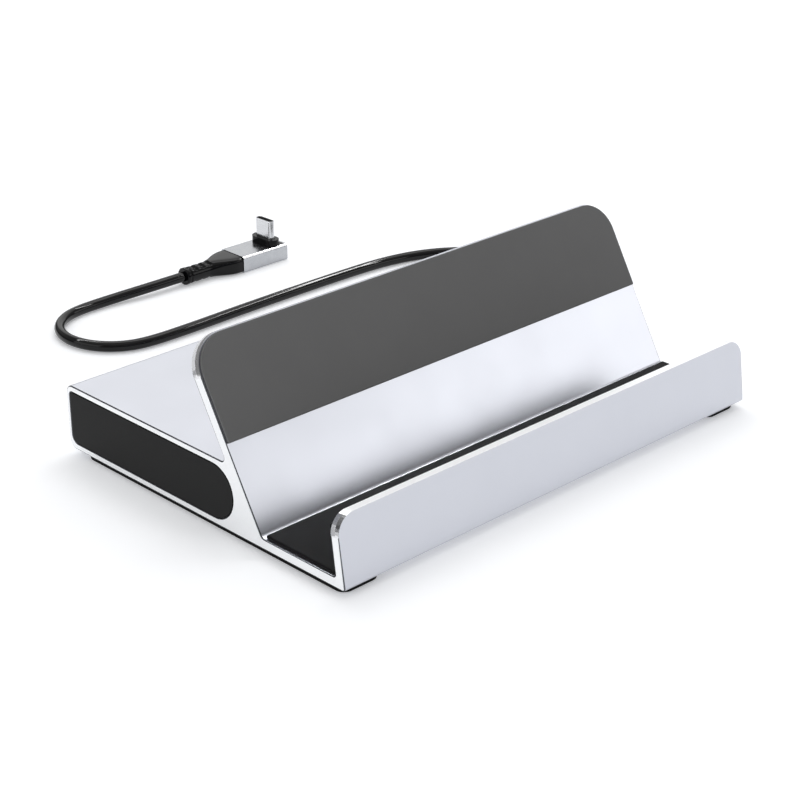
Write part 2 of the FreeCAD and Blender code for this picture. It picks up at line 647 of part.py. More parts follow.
def fuse(name, first, second):
    """Join two shapes into one solid."""
    item = doc.addObject("Part::Fuse", name)
    item.Base = first
    item.Tool = second
    return item


def make_chips():
    """Controllers in a row on the board, and the network transformer in front of its jack."""
    row = f"({BOARD_FRONT} + sizes.chip_row)"
    chips = [
        ("video_converter", -1, "sizes.converter_side"),
        ("network_controller", 1, "sizes.network_chip_side"),
        ("power_controller", -2, "sizes.power_chip_side"),
    ]
    top = f"({BOARD_TOP} + sizes.chip_height)"
    for label, place, side in chips:
        x_low, x_high = around(f"({place} * sizes.chip_pitch)", side)
        y_low, y_high = around(row, side)
        block(label, (x_low, y_low, BOARD_TOP), (x_high, y_high, top), "sizes.chip_corner")
    # The hub chip is under the board, where a pad carries its heat into the extrusion's floor.
    chip_low = f"({BOARD_LOW} - sizes.chip_height)"
    x_low, x_high = around("0", "sizes.hub_chip_side")
    y_low, y_high = around(row, "sizes.hub_chip_side")
    block("hub_controller", (x_low, y_low, chip_low), (x_high, y_high, BOARD_LOW), "sizes.chip_corner")
    pad_side = "(sizes.hub_chip_side + 2 * sizes.thermal_margin)"
    x_low, x_high = around("0", pad_side)
    y_low, y_high = around(row, pad_side)
    block("hub_thermal_pad", (x_low, y_low, CHAMBER_LOW), (x_high, y_high, chip_low), "sizes.chip_corner")
    make_coil_row()
    x_low, x_high = around(port_middle("network"), "sizes.transformer_length")
    rear = f"({PORT_FACE} - sizes.jack_depth - sizes.transformer_gap)"
    low = (x_low, f"({rear} - sizes.transformer_depth)", BOARD_TOP)
    high = (x_high, rear, f"({BOARD_TOP} + sizes.transformer_height)")
    block("network_transformer", low, high, "sizes.chip_corner")


def make_coil_row():
    """Power coils at the left and capacitors beside them, at even places along the board."""
    row = f"({BOARD_FRONT} + sizes.coil_row)"
    coils = []
    for index, place in enumerate((-2.0, -1.5, -1.0)):
        coil = doc.addObject("Part::Box", f"coil_{index}")
        coil.setExpression("Length", "sizes.coil_side")
        coil.setExpression("Width", "sizes.coil_side")
        coil.setExpression("Height", "sizes.coil_height")
        coil.setExpression("Placement.Base.x", f"{place} * sizes.chip_pitch - sizes.coil_side / 2")
        coil.setExpression("Placement.Base.y", f"{row} - sizes.coil_side / 2")
        coil.setExpression("Placement.Base.z", BOARD_TOP)
        coils.append(coil)
    group("power_coils", coils)
    cans = []
    for index, place in enumerate((-0.4, 0.0, 0.4, 0.8)):
        x = f"({place} * sizes.chip_pitch)"
        cans.append(cylinder(f"can_{index}", x, row, BOARD_TOP, "sizes.can_radius", "sizes.can_height"))
    group("filter_capacitors", cans)


# ---- the sockets in the rear wall ----

PORTS = [
    ("network", "sizes.jack_width"),
    ("data_1", "sizes.data_width"),
    ("data_2", "sizes.data_width"),
    ("video", "sizes.video_width"),
    ("power", "sizes.power_width"),
]


def port_middle(name):
    """X of a socket's middle: they stand in a row, counted from the right end."""
    edge = f"{RIGHT} - sizes.port_margin"
    for port, width in PORTS:
        if port == name:
            return f"({edge} - {width} / 2)"
        edge = f"{edge} - {width} - sizes.port_gap"
    raise KeyError(name)


def socket_outline(name, grow="0"):
    """The outside of one socket in XZ, grown by `grow` all round."""
    middle = port_middle(name)
    corner = "sizes.shell_corner"
    low_v = f"({PORT_LOW} - ({grow}))"
    if name == "power":
        height = f"(sizes.power_height + 2 * ({grow}))"
        width = f"(sizes.power_width + 2 * ({grow}))"
        return oval(middle, f"({PORT_LOW} + sizes.power_height / 2)", width, height)
    if name == "video":
        low_u, high_u = around(middle, f"sizes.video_width + 2 * ({grow})")
        high_v = f"({PORT_LOW} + sizes.video_height + ({grow}))"
        step = f"({PORT_LOW} + 0.3 * sizes.video_height)"
        return [
            (f"({low_u} + sizes.video_notch)", low_v, corner),
            (f"({high_u} - sizes.video_notch)", low_v, corner),
            (high_u, step, corner),
            (high_u, high_v, corner),
            (low_u, high_v, corner),
            (low_u, step, corner),
        ]
    if name == "network":
        low_u, high_u = around(middle, f"sizes.jack_width + 2 * ({grow})")
        return rectangle(low_u, low_v, high_u, f"({PORT_LOW} + sizes.jack_height + ({grow}))", corner)
    low_u, high_u = around(middle, f"sizes.data_width + 2 * ({grow})")
    return rectangle(low_u, low_v, high_u, f"({PORT_LOW} + sizes.data_height + ({grow}))", corner)


def make_shell(label, name, depth, wall="sizes.shell_wall"):
    """A folded steel shell, closed at the back and open at the mouth."""
    body = new_body(label)
    back = f"({PORT_FACE} - {depth})"
    extrude(body, "Pad", "XZ", back, depth, [socket_outline(name)], name="outside")
    inside = socket_outline(name, f"-({wall})")
    extrude(body, "Pocket", "XZ", f"({back} + {wall})", f"({depth} + {CLEAR})", [inside], name="inside")


def make_insert(label, name, depth, tongue_width, tongue_height, tongue_low):
    """The moulded block at the back of a socket, with the tongue that carries the contacts."""
    body = new_body(label)
    back = f"({PORT_FACE} - {depth} + sizes.shell_wall)"
    outline = socket_outline(name, "-(sizes.shell_wall + sizes.insert_gap)")
    extrude(body, "Pad", "XZ", back, "sizes.insert_back", [outline], name="back")
    low_u, high_u = around(port_middle(name), tongue_width)
    low_v = f"({PORT_LOW} + {tongue_low})"
    tongue = rectangle(low_u, low_v, high_u, f"({low_v} + {tongue_height})")
    length = f"({PORT_FACE} - sizes.tongue_setback - {back} - {CLEAR})"
    extrude(body, "Pad", "XZ", f"({back} + {CLEAR})", length, [tongue], name="tongue")


def make_network_jack():
    """Shield, moulded body with its mouth and latch notch, and eight sprung contacts."""
    make_shell("network_jack_shield", "network", "sizes.jack_depth", "sizes.jack_shield")
    body = new_body("network_jack_body")
    back = f"({PORT_FACE} - sizes.jack_depth + sizes.jack_shield)"
    front = f"({PORT_FACE} - sizes.jack_body_recess)"
    outline = socket_outline("network", "-(sizes.jack_shield + sizes.insert_gap)")
    extrude(body, "Pad", "XZ", back, f"({front} - {back})", [outline], name="block")
    middle = port_middle("network")
    mouth_low = f"({PORT_LOW} + sizes.jack_mouth_rise)"
    mouth_high = f"({mouth_low} + sizes.jack_mouth_height)"
    mouth_back = f"({PORT_FACE} - sizes.jack_mouth_depth)"
    low_u, high_u = around(middle, "sizes.jack_mouth_width")
    mouth = rectangle(low_u, mouth_low, high_u, mouth_high)
    extrude(body, "Pocket", "XZ", mouth_back, f"(sizes.jack_mouth_depth + {CLEAR})", [mouth], name="mouth")
    low_u, high_u = around(middle, "sizes.latch_width")
    notch = rectangle(low_u, f"({mouth_low} - sizes.latch_height)", high_u, f"({mouth_low} + {SMALL_RADIUS})")
    notch_back = f"({PORT_FACE} - sizes.latch_depth)"
    extrude(body, "Pocket", "XZ", notch_back, f"(sizes.latch_depth + {CLEAR})", [notch], name="latch_notch")
    make_network_contacts(middle, mouth_back, mouth_high)


def make_network_contacts(middle, mouth_back, mouth_high):
    """Eight wires that slope down from the mouth's top to its back wall."""
    wires = []
    gap = "sizes.insert_gap"
    top = f"({mouth_high} - {gap})"
    tip = f"({mouth_back} + sizes.contact_reach)"
    root = f"({mouth_back} + 2 * {gap})"
    wire_end = "sizes.contact_width"
    for index in range(CONTACTS):
        x = f"({middle} + {index - (CONTACTS - 1) / 2} * sizes.contact_pitch)"
        wire = new_body(f"network_contact_{index}")
        parts.remove(wire)
        outline = [
            (root, f"({top} - sizes.contact_drop - {wire_end})", "0"),
            (tip, f"({top} - {wire_end})", "0"),
            (tip, top, "0"),
            (f"({tip} - {SMALL_RADIUS})", top, "0"),
            (root, f"({top} - sizes.contact_drop)", "0"),
        ]
        extrude(wire, "Pad", "YZ", f"({x} - {wire_end} / 2)", wire_end, [outline])
        wires.append(wire)
    group("network_contacts", wires)


def make_sockets():
    """Every socket behind the rear wall."""
    make_network_jack()
    for index in (1, 2):
        make_shell(f"data_socket_{index}_shell", f"data_{index}", "sizes.data_depth")
        make_insert(
            f"data_socket_{index}_insert",
            f"data_{index}",
            "sizes.data_depth",
            "(sizes.data_width - 2 * sizes.tongue_side_gap)",
            "sizes.data_tongue",
            "(sizes.data_height - sizes.shell_wall - sizes.data_tongue_drop)",
        )
    make_shell("video_socket_shell", "video", "sizes.video_depth")
    video_width = "(sizes.video_width - 2 * sizes.tongue_side_gap - sizes.video_notch)"
    video_tongue = (video_width, "sizes.video_tongue", "(sizes.video_height / 2)")
    make_insert("video_socket_insert", "video", "sizes.video_depth", *video_tongue)
    make_shell("power_socket_shell", "power", "sizes.power_depth")
    power_width = "(sizes.power_width - 2 * sizes.tongue_side_gap)"
    power_tongue = (power_width, "sizes.power_tongue", "(sizes.power_height / 2 - sizes.power_tongue / 2)")
    make_insert("power_socket_insert", "power", "sizes.power_depth", *power_tongue)


# ---- the link cable ----

def make_cable_exit():
    """The moulded strain relief in the right end cap, and the cable's tail on the board."""
    body = new_body("cable_strain_relief")
    y = "sizes.exit_depth_y"
    z = "sizes.exit_height"
    flange_low = f"({RIGHT} - sizes.cap_thickness - sizes.relief_flange)"
    flange = [(y, z, "sizes.relief_flange_radius")]
    extrude(body, "Pad", "YZ", flange_low, "sizes.relief_flange", circles=flange, name="flange")
    neck = [(y, z, "sizes.relief_neck_radius")]
    neck_length = f"(sizes.relief_flange + sizes.cap_thickness + {CLEAR})"
    extrude(body, "Pad", "YZ", flange_low, neck_length, circles=neck, name="neck")
    shoulder = [(y, z, "sizes.relief_radius")]
    shoulder_low = f"({RIGHT} + sizes.relief_gap)"
    shoulder_length = "(sizes.relief_shoulder - sizes.relief_gap)"
    extrude(body, "Pad", "YZ", shoulder_low, shoulder_length, circles=shoulder, name="shoulder")
    wide = new_sketch(body, "YZ", f"({RIGHT} + sizes.relief_shoulder)", "taper_wide")
    draw_circle(wide, y, z, "(sizes.relief_radius - sizes.relief_step)")
    narrow = new_sketch(body, "YZ", f"({RIGHT} + sizes.relief_length)", "taper_narrow")
    draw_circle(narrow, y, z, "sizes.relief_tip_radius")
    taper = body.newObject("PartDesign::AdditiveLoft", "taper")
    taper.Profile = wide
    taper.Sections = [narrow]
    doc.recompute()
    block_low = f"({RIGHT} - sizes.lead_block_place)"
    block_high = f"({block_low} + sizes.lead_block)"
    y_low, y_high = around(y, "sizes.lead_block_width")
    top = f"({z} + sizes.cable_radius + sizes.lead_block_wall)"
    block("lead_connector", (block_low, y_low, BOARD_TOP), (block_high, y_high, top), "sizes.board_corner")
    lead = new_body("internal_lead")
    ring = [(y, z, "sizes.cable_radius")]
    extrude(lead, "Pad", "YZ", block_high, f"({flange_low} - {block_high})", circles=ring)


def smoothed(points):
    """Straight runs joined by tangent arcs, each as large as its two runs allow."""
    corners = [FreeCAD.Vector(*point) for point in points]
    edges = []
    radii = []
    start = corners[0]
    for before, corner, after in zip(corners, corners[1:], corners[2:]):
        back = before - corner
        ahead = after - corner
        reach = ARC_SHARE * min(back.Length, ahead.Length)
        half_turn = (math.pi - back.getAngle(ahead)) / 2
        radius = reach / math.tan(half_turn)
        radii.append(radius)
        unit_back = FreeCAD.Vector(back).normalize()
        unit_ahead = FreeCAD.Vector(ahead).normalize()
        first = corner + unit_back * reach
        last = corner + unit_ahead * reach
        to_centre = (unit_back + unit_ahead).normalize()
        middle = corner + to_centre * (radius / math.cos(half_turn) - radius)
        edges.append(Part.LineSegment(start, first).toShape())
        edges.append(Part.Arc(first, middle, last).toShape())
        start = last
    edges.append(Part.LineSegment(start, corners[-1]).toShape())
    return Part.Wire(edges), radii


def make_link_cable():
    """The free cable as a round tube along its route."""
    path, radii = smoothed(ROUTE)
    radius = size("cable_radius")
    print("cable arc radii, mm:", " ".join(f"{value:.1f}" for value in radii))
    print(f"cable length {path.Length:.1f} mm, tightest {min(radii) / (2 * radius):.2f} diameters")
    along = FreeCAD.Vector(*ROUTE[1]) - FreeCAD.Vector(*ROUTE[0])
    ring = Part.Wire([Part.Circle(FreeCAD.Vector(*ROUTE[0]), along, radius).toShape()])
    tube = path.makePipeShell([ring], True, False)
    expected = math.pi * radius**2 * path.Length
    if abs(tube.Volume - expected) > 0.01 * expected:
        raise RuntimeError(f"cable volume {tube.Volume:.1f}, expected {expected:.1f}")
    item = doc.addObject("Part::Feature", "link_cable")
    item.Label = "link_cable"
    item.Shape = tube
    item.Placement = FreeCAD.Placement()
    parts.append(item)


def plug_section(sketch, width, height, corner):
    """A rounded rectangle round the plug's axis, in YZ."""
    low_u, high_u = around("sizes.plug_middle_y", width)
    low_v, high_v = around("(sizes.plug_height / 2)", height)
    draw_polygon(sketch, rectangle(low_u, low_v, high_u, high_v, corner))


def make_boot():
    """The moulded boot, from round at the cable to the housing's own section."""
    boot = new_body("plug_boot")
    neck = "(sizes.plug_height - sizes.boot_neck_step)"
    wide = "(sizes.plug_width - sizes.boot_step)"
    tall = "(sizes.plug_height - sizes.boot_step)"
    corner = "sizes.boot_neck_corner"
    shoulder = f"({neck} + sizes.boot_flare * ({wide} - {neck}))"
    stations = [
        ("sizes.boot_length", neck, neck, corner),
        ("sizes.boot_waist * sizes.boot_length", f"({neck} + sizes.boot_neck_step)", neck, corner),
        ("sizes.boot_shoulder * sizes.boot_length", shoulder, tall, f"({corner} - sizes.boot_neck_step)"),
        ("0", wide, tall, "sizes.plug_corner"),
    ]
    sketches = []
    for index, (back, width, height, radius) in enumerate(stations):
        sketch = new_sketch(boot, "YZ", f"(sizes.plug_left - {back})", f"boot_station_{index}")
        plug_section(sketch, width, height, radius)
        sketches.append(sketch)
    loft = boot.newObject("PartDesign::AdditiveLoft", "boot_loft")
    loft.Profile = sketches[0]
    loft.Sections = sketches[1:]
    loft.Ruled = True
    doc.recompute()


def make_housing():
    """The aluminium housing and, inside it, the core whose black deck shows beside the tip."""
    end = "sizes.plug_left"
    wall = "sizes.plug_wall"
    gap = "sizes.plug_gap"
    y_low, y_high = around("sizes.plug_middle_y", "sizes.plug_width")
    high = f"(sizes.plug_height - {wall})"
    inner_corner = f"max(sizes.plug_corner - {wall}; {SMALL_RADIUS})"
    core_end = f"({end} + sizes.plug_length - {wall})"
    deck_low, deck_high = around("sizes.plug_middle_y", "(sizes.plug_width - 2 * sizes.deck_step)")
    collar_hole = oval(
        TIP_X, "sizes.plug_middle_y", f"sizes.collar_thickness + {gap}", f"sizes.collar_width + {gap}"
    )

    housing = new_body("plug_housing")
    outline = rectangle(y_low, "0", y_high, "sizes.plug_height", "sizes.plug_corner")
    extrude(housing, "Pad", "YZ", end, "sizes.plug_length", [outline], name="sleeve")
    bore = rectangle(f"({y_low} + {wall})", wall, f"({y_high} - {wall})", high, inner_corner)
    bore_length = f"(sizes.plug_length - {wall} + {CLEAR})"
    extrude(housing, "Pocket", "YZ", f"({end} - {CLEAR})", bore_length, [bore], name="bore")
    roof_cut = (f"({high} - {SMALL_RADIUS})", f"({wall} + {CLEAR})")
    extrude(housing, "Pocket", "XY", *roof_cut, [collar_hole], name="collar_hole")
    window = rectangle(TIP_X, deck_low, core_end, deck_high)
    extrude(housing, "Pocket", "XY", *roof_cut, [window], name="deck_window")

    core = new_body("plug_core")
    side_gap = f"({wall} + {gap})"
    section = rectangle(
        f"({y_low} + {side_gap})", side_gap, f"({y_high} - {side_gap})", f"({high} - {gap})", inner_corner
    )
    core_length = f"(sizes.plug_length - {wall} - 2 * {gap})"
    extrude(core, "Pad", "YZ", f"({end} + {gap})", core_length, [section], name="block")
    deck_left = f"({TIP_X} + {gap})"
    deck_right = f"({core_end} - {gap})"
    deck = rectangle(deck_left, f"({deck_low} + {gap})", deck_right, f"({deck_high} - {gap})")
    deck_base = f"({high} - 2 * {gap})"
    extrude(core, "Pad", "XY", deck_base, f"({wall} + {gap})", [deck], name="deck")
    seat_depth = f"({wall} + {CLEAR})"
    extrude(core, "Pocket", "XY", f"({high} - {gap})", seat_depth, [collar_hole], name="collar_seat")


def make_tip():
    """The black collar, the metal tip in it and the moulding inside the tip."""
    gap = "sizes.plug_gap"
    low = f"(sizes.plug_height - sizes.plug_wall - {gap})"
    brim_low = f"(sizes.plug_height + {SMALL_RADIUS} / 4)"
    collar_top = "(sizes.plug_height + sizes.collar_height)"
    tip_high = f"({collar_top} + sizes.tip_length)"
    middle = "sizes.plug_middle_y"
    collar = new_body("plug_collar")
    neck = oval(TIP_X, middle, "sizes.collar_thickness", "sizes.collar_width")
    extrude(collar, "Pad", "XY", low, f"({brim_low} - {low})", [neck], name="neck")
    brim = oval(
        TIP_X,
        middle,
        "(sizes.collar_thickness + 2 * sizes.collar_brim)",
        "(sizes.collar_width + 2 * sizes.collar_brim)",
    )
    extrude(collar, "Pad", "XY", brim_low, f"({collar_top} - {brim_low})", [brim], name="brim")
    tip_hole = oval(TIP_X, middle, f"sizes.tip_thickness + {gap}", f"sizes.tip_width + {gap}")
    hole_length = f"({collar_top} - {low} + 2 * {CLEAR})"
    extrude(collar, "Pocket", "XY", f"({low} - {CLEAR})", hole_length, [tip_hole], name="tip_hole")

    tip = new_body("plug_tip")
    outside = oval(TIP_X, middle, "sizes.tip_thickness", "sizes.tip_width")
    extrude(tip, "Pad", "XY", low, f"({tip_high} - {low})", [outside], name="outside")
    inner_size = ("(sizes.tip_thickness - 2 * sizes.tip_wall)", "(sizes.tip_width - 2 * sizes.tip_wall)")
    inside = oval(TIP_X, middle, *inner_size)
    inside_length = f"({tip_high} - {low} + 2 * {CLEAR})"
    extrude(tip, "Pocket", "XY", f"({low} - {CLEAR})", inside_length, [inside], name="inside")

    insert = new_body("plug_insert")
    lining_size = [f"({item} - 2 * {gap})" for item in inner_size]
    lining = oval(TIP_X, middle, *lining_size)
    lining_high = f"({tip_high} - sizes.tip_lining_drop)"
    extrude(insert, "Pad", "XY", low, f"({lining_high} - {low})", [lining], name="lining")
    x_low, x_high = around(TIP_X, "sizes.tip_slot")
    slot_low, slot_high = around(middle, f"({lining_size[1]} - sizes.tip_lining)")
    slot = rectangle(x_low, slot_low, x_high, slot_high)
    extrude(insert, "Pocket", "XY", f"({collar_top} + {CLEAR})", "sizes.tip_length", [slot], name="slot")


def check_and_write():
    """Stop on any failed object or bad shape, then write one file for each sub-part."""
    doc.recompute()
    for item in doc.Objects:
        if "Invalid" in item.State or "Error" in item.State:
            raise RuntimeError(f"{item.Name} failed: {item.State}")
    for item in parts:
        if item.Shape.isNull() or not item.Shape.isValid() or not item.Shape.Solids:
            raise RuntimeError(f"{item.Label} has no valid solid")
    os.makedirs("parts", exist_ok=True)
    for item in parts:
        item.Shape.exportStep(f"parts/{item.Label}.step")
    print(f"{len(parts)} sub-parts written")


make_extrusion([socket_outline(name, "sizes.port_clearance") for name, _ in PORTS])
make_end_caps()
make_backrest_pad()
make_channel_pad()
make_foot_strips()
make_board()
make_fasteners()
make_chips()
make_sockets()
make_cable_exit()
make_link_cable()
make_boot()
make_housing()
make_tip()
check_and_write()
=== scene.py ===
import math

import bmesh
import bpy
from bpy.props import FloatProperty, FloatVectorProperty, PointerProperty, StringProperty
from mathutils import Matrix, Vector


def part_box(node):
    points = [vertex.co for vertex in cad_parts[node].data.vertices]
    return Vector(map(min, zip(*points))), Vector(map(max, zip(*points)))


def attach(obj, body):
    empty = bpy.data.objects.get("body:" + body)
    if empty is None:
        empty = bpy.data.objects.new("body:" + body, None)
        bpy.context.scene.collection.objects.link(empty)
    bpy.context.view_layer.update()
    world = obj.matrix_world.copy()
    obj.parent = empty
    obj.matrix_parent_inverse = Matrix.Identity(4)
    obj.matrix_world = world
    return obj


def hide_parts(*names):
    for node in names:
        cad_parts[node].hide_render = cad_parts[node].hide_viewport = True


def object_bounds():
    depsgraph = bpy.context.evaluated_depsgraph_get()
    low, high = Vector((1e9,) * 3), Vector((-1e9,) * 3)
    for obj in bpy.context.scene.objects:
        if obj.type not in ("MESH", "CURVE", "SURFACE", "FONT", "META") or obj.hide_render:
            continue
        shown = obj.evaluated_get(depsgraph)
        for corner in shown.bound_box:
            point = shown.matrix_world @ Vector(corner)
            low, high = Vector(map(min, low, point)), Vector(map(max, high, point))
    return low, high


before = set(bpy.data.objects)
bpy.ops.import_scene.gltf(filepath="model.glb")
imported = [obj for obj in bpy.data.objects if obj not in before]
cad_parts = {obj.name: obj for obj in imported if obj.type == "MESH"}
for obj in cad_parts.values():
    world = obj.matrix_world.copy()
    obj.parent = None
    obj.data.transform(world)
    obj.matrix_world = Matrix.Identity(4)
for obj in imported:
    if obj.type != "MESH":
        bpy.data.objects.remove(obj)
CAD_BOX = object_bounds()

bl_info = {
    "name": "Laptop Dock Looks",
    "version": (1, 0, 0),
    "blender": (4, 5, 0),
    "location": "3D View > Sidebar > Dock",
    "description": "Dresses the desk dock in aluminium, silicone, black mouldings and its link cable",
    "category": "Object",
}

MM = 0.001

# Two places closer than this count as one.
NEAR = 0.01 * MM

# Most of a noise pattern's values lie between these two.
NOISE_LOW = 0.3
NOISE_HIGH = 0.7

# Light that comes through the card from below; it keeps the shadows faint.
FLOOR_GLOW = 0.3

# The soft boxes: name, azimuth clockwise from the rear and elevation in degrees, distance, width and height
# in metres, and brightness. The rear one is mirrored by the roof and the front one by the backrest. The left
# one brightens the left end, and the high one the floor, the roof and the lip.
PANELS = (
    ("panel_top", 0.0, 88.0, 2.2, 3.2, 3.2, 0.36),
    ("panel_rear_right", 44.0, 32.0, 1.6, 1.7, 1.4, 0.74),
    ("panel_front_right", 136.0, 16.0, 1.6, 1.6, 0.56, 1.5),
    ("panel_left", -80.0, 22.0, 1.5, 1.4, 1.0, 0.9),
    ("panel_high", 44.0, 64.0, 1.6, 1.4, 0.5, 2.4),
    ("strip_right", 93.0, 50.0, 1.4, 1.0, 0.03, 32.0),
    ("strip_rear", -4.0, 49.0, 1.4, 1.0, 0.03, 32.0),
)

# The narrow ones, which draw thin highlights on the cable, the plug and its boot.
STRIPS = ("strip_right", "strip_rear")

# The link cable's route, from the strain relief's tip round behind the dock to the plug's boot, in metres.
CABLE_ROUTE = [
    (0.0940, 0.0300, 0.01040),
    (0.1045, 0.0300, 0.01040),
    (0.1146, 0.0336, 0.00700),
    (0.1222, 0.0412, 0.00320),
    (0.1262, 0.0526, 0.00190),
    (0.1264, 0.0656, 0.00185),
    (0.1222, 0.0788, 0.00185),
    (0.1134, 0.0900, 0.00185),
    (0.1010, 0.0982, 0.00185),
    (0.0855, 0.1023, 0.00185),
    (0.0620, 0.1030, 0.00185),
    (0.0260, 0.1027, 0.00185),
    (-0.0030, 0.1017, 0.00185),
    (-0.0195, 0.1020, 0.00185),
    (-0.0275, 0.1055, 0.00185),
    (-0.0331, 0.1122, 0.00185),
    (-0.0351, 0.1207, 0.00185),
    (-0.0332, 0.1292, 0.00185),
    (-0.0276, 0.1359, 0.00185),
    (-0.0196, 0.1395, 0.00185),
    (-0.0055, 0.1398, 0.00190),
    (0.0100, 0.1373, 0.00300),
    (0.0240, 0.1373, 0.00300),
]


# ---- sizes and colours a user would change ----


def distance(name, description, millimetres):
    """A length property whose default is given in millimetres."""
    return FloatProperty(
        name=name, description=description, default=millimetres * MM, min=0.0,
        subtype="DISTANCE", unit="LENGTH",
    )


def swatch(name, description, code):
    """A colour property given as an sRGB hex value."""
    return StringProperty(name=name, description=description, default=code, maxlen=6)


class DockSizes(bpy.types.PropertyGroup):
    """Sizes of the looks: edge rounding, cable and plug details."""

    end_chamfer: distance("End chamfer", "Polished cut along the edges of the extrusion's ends", 0.3)
    metal_edge: distance("Metal edge", "Rounding of the extrusion's other edges", 0.18)
    cap_edge: distance("Cap edge", "Rounding of the moulded end caps", 0.3)
    pad_edge: distance("Pad edge", "Rounding of the silicone pads", 0.35)
    foot_edge: distance("Foot edge", "Rounding of the rubber strips", 0.4)
    socket_edge: distance("Socket edge", "Rounding of the socket shells' sheet edges", 0.08)
    plug_edge: distance("Plug edge", "Rounding of the plug's small edges", 0.12)
    cable_radius: distance("Cable radius", "Outer radius of the link cable", 1.75)
    boot_groove: distance("Boot groove", "Depth of the boot's grip slots", 1.1)


class DockColours(bpy.types.PropertyGroup):
    """Colours of the visible finishes, as sRGB hex values."""

    aluminium: swatch("Aluminium", "Clear anodised, bead-blasted extrusion", "CFD1D8")
    # The end faces' near-white is partly their finish and partly painted light, lighter than the aluminium of
    # the sides.
    end_face: swatch("End faces", "Faced ends of the extrusion", "FAFBFC")
    # The chamfer's dark grey is painted shade: it turns the polished cut into a dark line along the ends'
    # edges.
    chamfer: swatch("Chamfer", "Polished cut at the extrusion's ends", "606266")
    plug_cut: swatch("Plug's cut", "Polished cut along the plug's housing", "F2F2F4")
    end_cap: swatch("End caps", "Black moulded caps", "1B1B1B")
    grey_pad: swatch("Backrest pad", "Grey silicone", "6C6C6C")
    black_pad: swatch("Channel pad", "Black silicone", "0D0D0E")
    foot: swatch("Feet", "Black rubber", "141414")
    jacket: swatch("Cable", "Cable jacket", "060607")
    boot: swatch("Boot", "Moulded boot and strain relief", "050506")


class StageSettings(bpy.types.PropertyGroup):
    """Floor, lights and camera."""

    lens: FloatProperty(
        name="Lens", description="Focal length of the camera", default=86.8, min=10, unit="CAMERA"
    )
    place: FloatVectorProperty(
        name="Camera place", description="Where the camera stands", default=(-0.3538, -0.3571, 0.2396),
        subtype="TRANSLATION", unit="LENGTH",
    )
    turn: FloatVectorProperty(
        name="Camera turn", description="Which way the camera looks",
        default=(math.radians(65.387), 0.0, math.radians(-44.234)), subtype="EULER", unit="ROTATION",
    )
    floor_colour: StringProperty(name="Floor", description="Colour of the floor", default="F4F5F7", maxlen=6)
    floor_side: FloatProperty(
        name="Floor side", description="Length of the floor's side", default=40.0, unit="LENGTH"
    )
    sky: FloatProperty(name="Sky", description="Strength of the light from all round", default=0.42, min=0.0)


# ---- small tools ----


def linear(code):
    """An sRGB hex value as a linear colour with full alpha."""
    channels = [int(code[index:index + 2], 16) / 255 for index in (0, 2, 4)]
    return tuple(c / 12.92 if c <= 0.04045 else ((c + 0.055) / 1.055) ** 2.4 for c in channels) + (1.0,)


def per_metre(millimetres):
    """The texture scale whose pattern repeats about every so many millimetres."""
    return 1.0 / (millimetres * MM)


def add_node(tree, kind, settings=(), links=()):
    """Add one node, set its properties or sockets by name, and link (socket of another node, own input)."""
    node = tree.nodes.new(kind)
    for name, value in dict(settings).items():
        if isinstance(name, int) or name in node.inputs:
            node.inputs[name].default_value = value
        else:
            setattr(node, name, value)
    for source, target in links:
        tree.links.new(source, node.inputs[target])
    return node


def new_material(name, **settings):
    """A material with a principled shader: the material, its tree, its shader and its coordinates."""
    material = bpy.data.materials.new(name)
    material.use_nodes = True
    tree = material.node_tree
    shader = tree.nodes["Principled BSDF"]
    for socket, value in settings.items():
        shader.inputs[socket.replace("_", " ")].default_value = value
    place = add_node(tree, "ShaderNodeTexCoord").outputs["Object"]
    return material, tree, shader, place


def add_grain(tree, shader, place, grain, height, detail=2.0):
    """Surface relief from a noise whose bumps are `grain` millimetres apart and `height` millimetres deep."""
    noise = add_node(
        tree, "ShaderNodeTexNoise", {"Scale": per_metre(grain), "Detail": detail}, [(place, "Vector")]
    )
    bump = add_node(
        tree, "ShaderNodeBump", {"Strength": 1.0, "Distance": height * MM}, [(noise.outputs["Fac"], "Height")]
    )
    tree.links.new(bump.outputs["Normal"], shader.inputs["Normal"])
    return noise


def mottle(tree, shader, pattern, low, high, roughness=(), first=NOISE_LOW, last=NOISE_HIGH):
    """Let a pattern drive the colour between two hex values and, if given, the roughness between two."""
    if roughness:
        spread = add_node(
            tree, "ShaderNodeMapRange",
            {"From Min": NOISE_LOW, "From Max": NOISE_HIGH, "To Min": roughness[0], "To Max": roughness[1]},
            [(pattern, "Value")],
        )
        tree.links.new(spread.outputs["Result"], shader.inputs["Roughness"])
    ramp = add_node(tree, "ShaderNodeValToRGB", {}, [(pattern, "Fac")])
    ramp.color_ramp.elements[0].position = first
    ramp.color_ramp.elements[1].position = last
    ramp.color_ramp.elements[0].color = linear(low)
    ramp.color_ramp.elements[1].color = linear(high)
    tree.links.new(ramp.outputs["Color"], shader.inputs["Base Color"])


def shade(code, share):
    """A hex value made lighter (above 1) or darker (below 1) by a share of its channels."""
    channels = [min(255, round(int(code[index:index + 2], 16) * share)) for index in (0, 2, 4)]
    return "".join(f"{channel:02X}" for channel in channels)


# ---- finishes, each from the real material and how its surface was made; painted shade darkens the extrusion's chamfer and painted light brightens its ends ----


def anodised_aluminium(code):
    """Aluminium, extruded, bead-blasted and clear anodised: a soft silver sheen with no lines in it."""
    material, tree, shader, place = new_material(
        "anodised_aluminium_bead_blasted", Metallic=1.0, Roughness=0.3
    )
    # The blasting leaves dimples of about 0.1 mm; they are drawn at 0.3 mm so that they show.
    add_grain(tree, shader, place, 0.3, 0.004)
    clouds = add_node(
        tree, "ShaderNodeTexNoise", {"Scale": per_metre(18), "Detail": 3.0}, [(place, "Vector")]
    )
    mottle(tree, shader, clouds.outputs["Fac"], shade(code, 0.985), code, (0.28, 0.33))
    return material


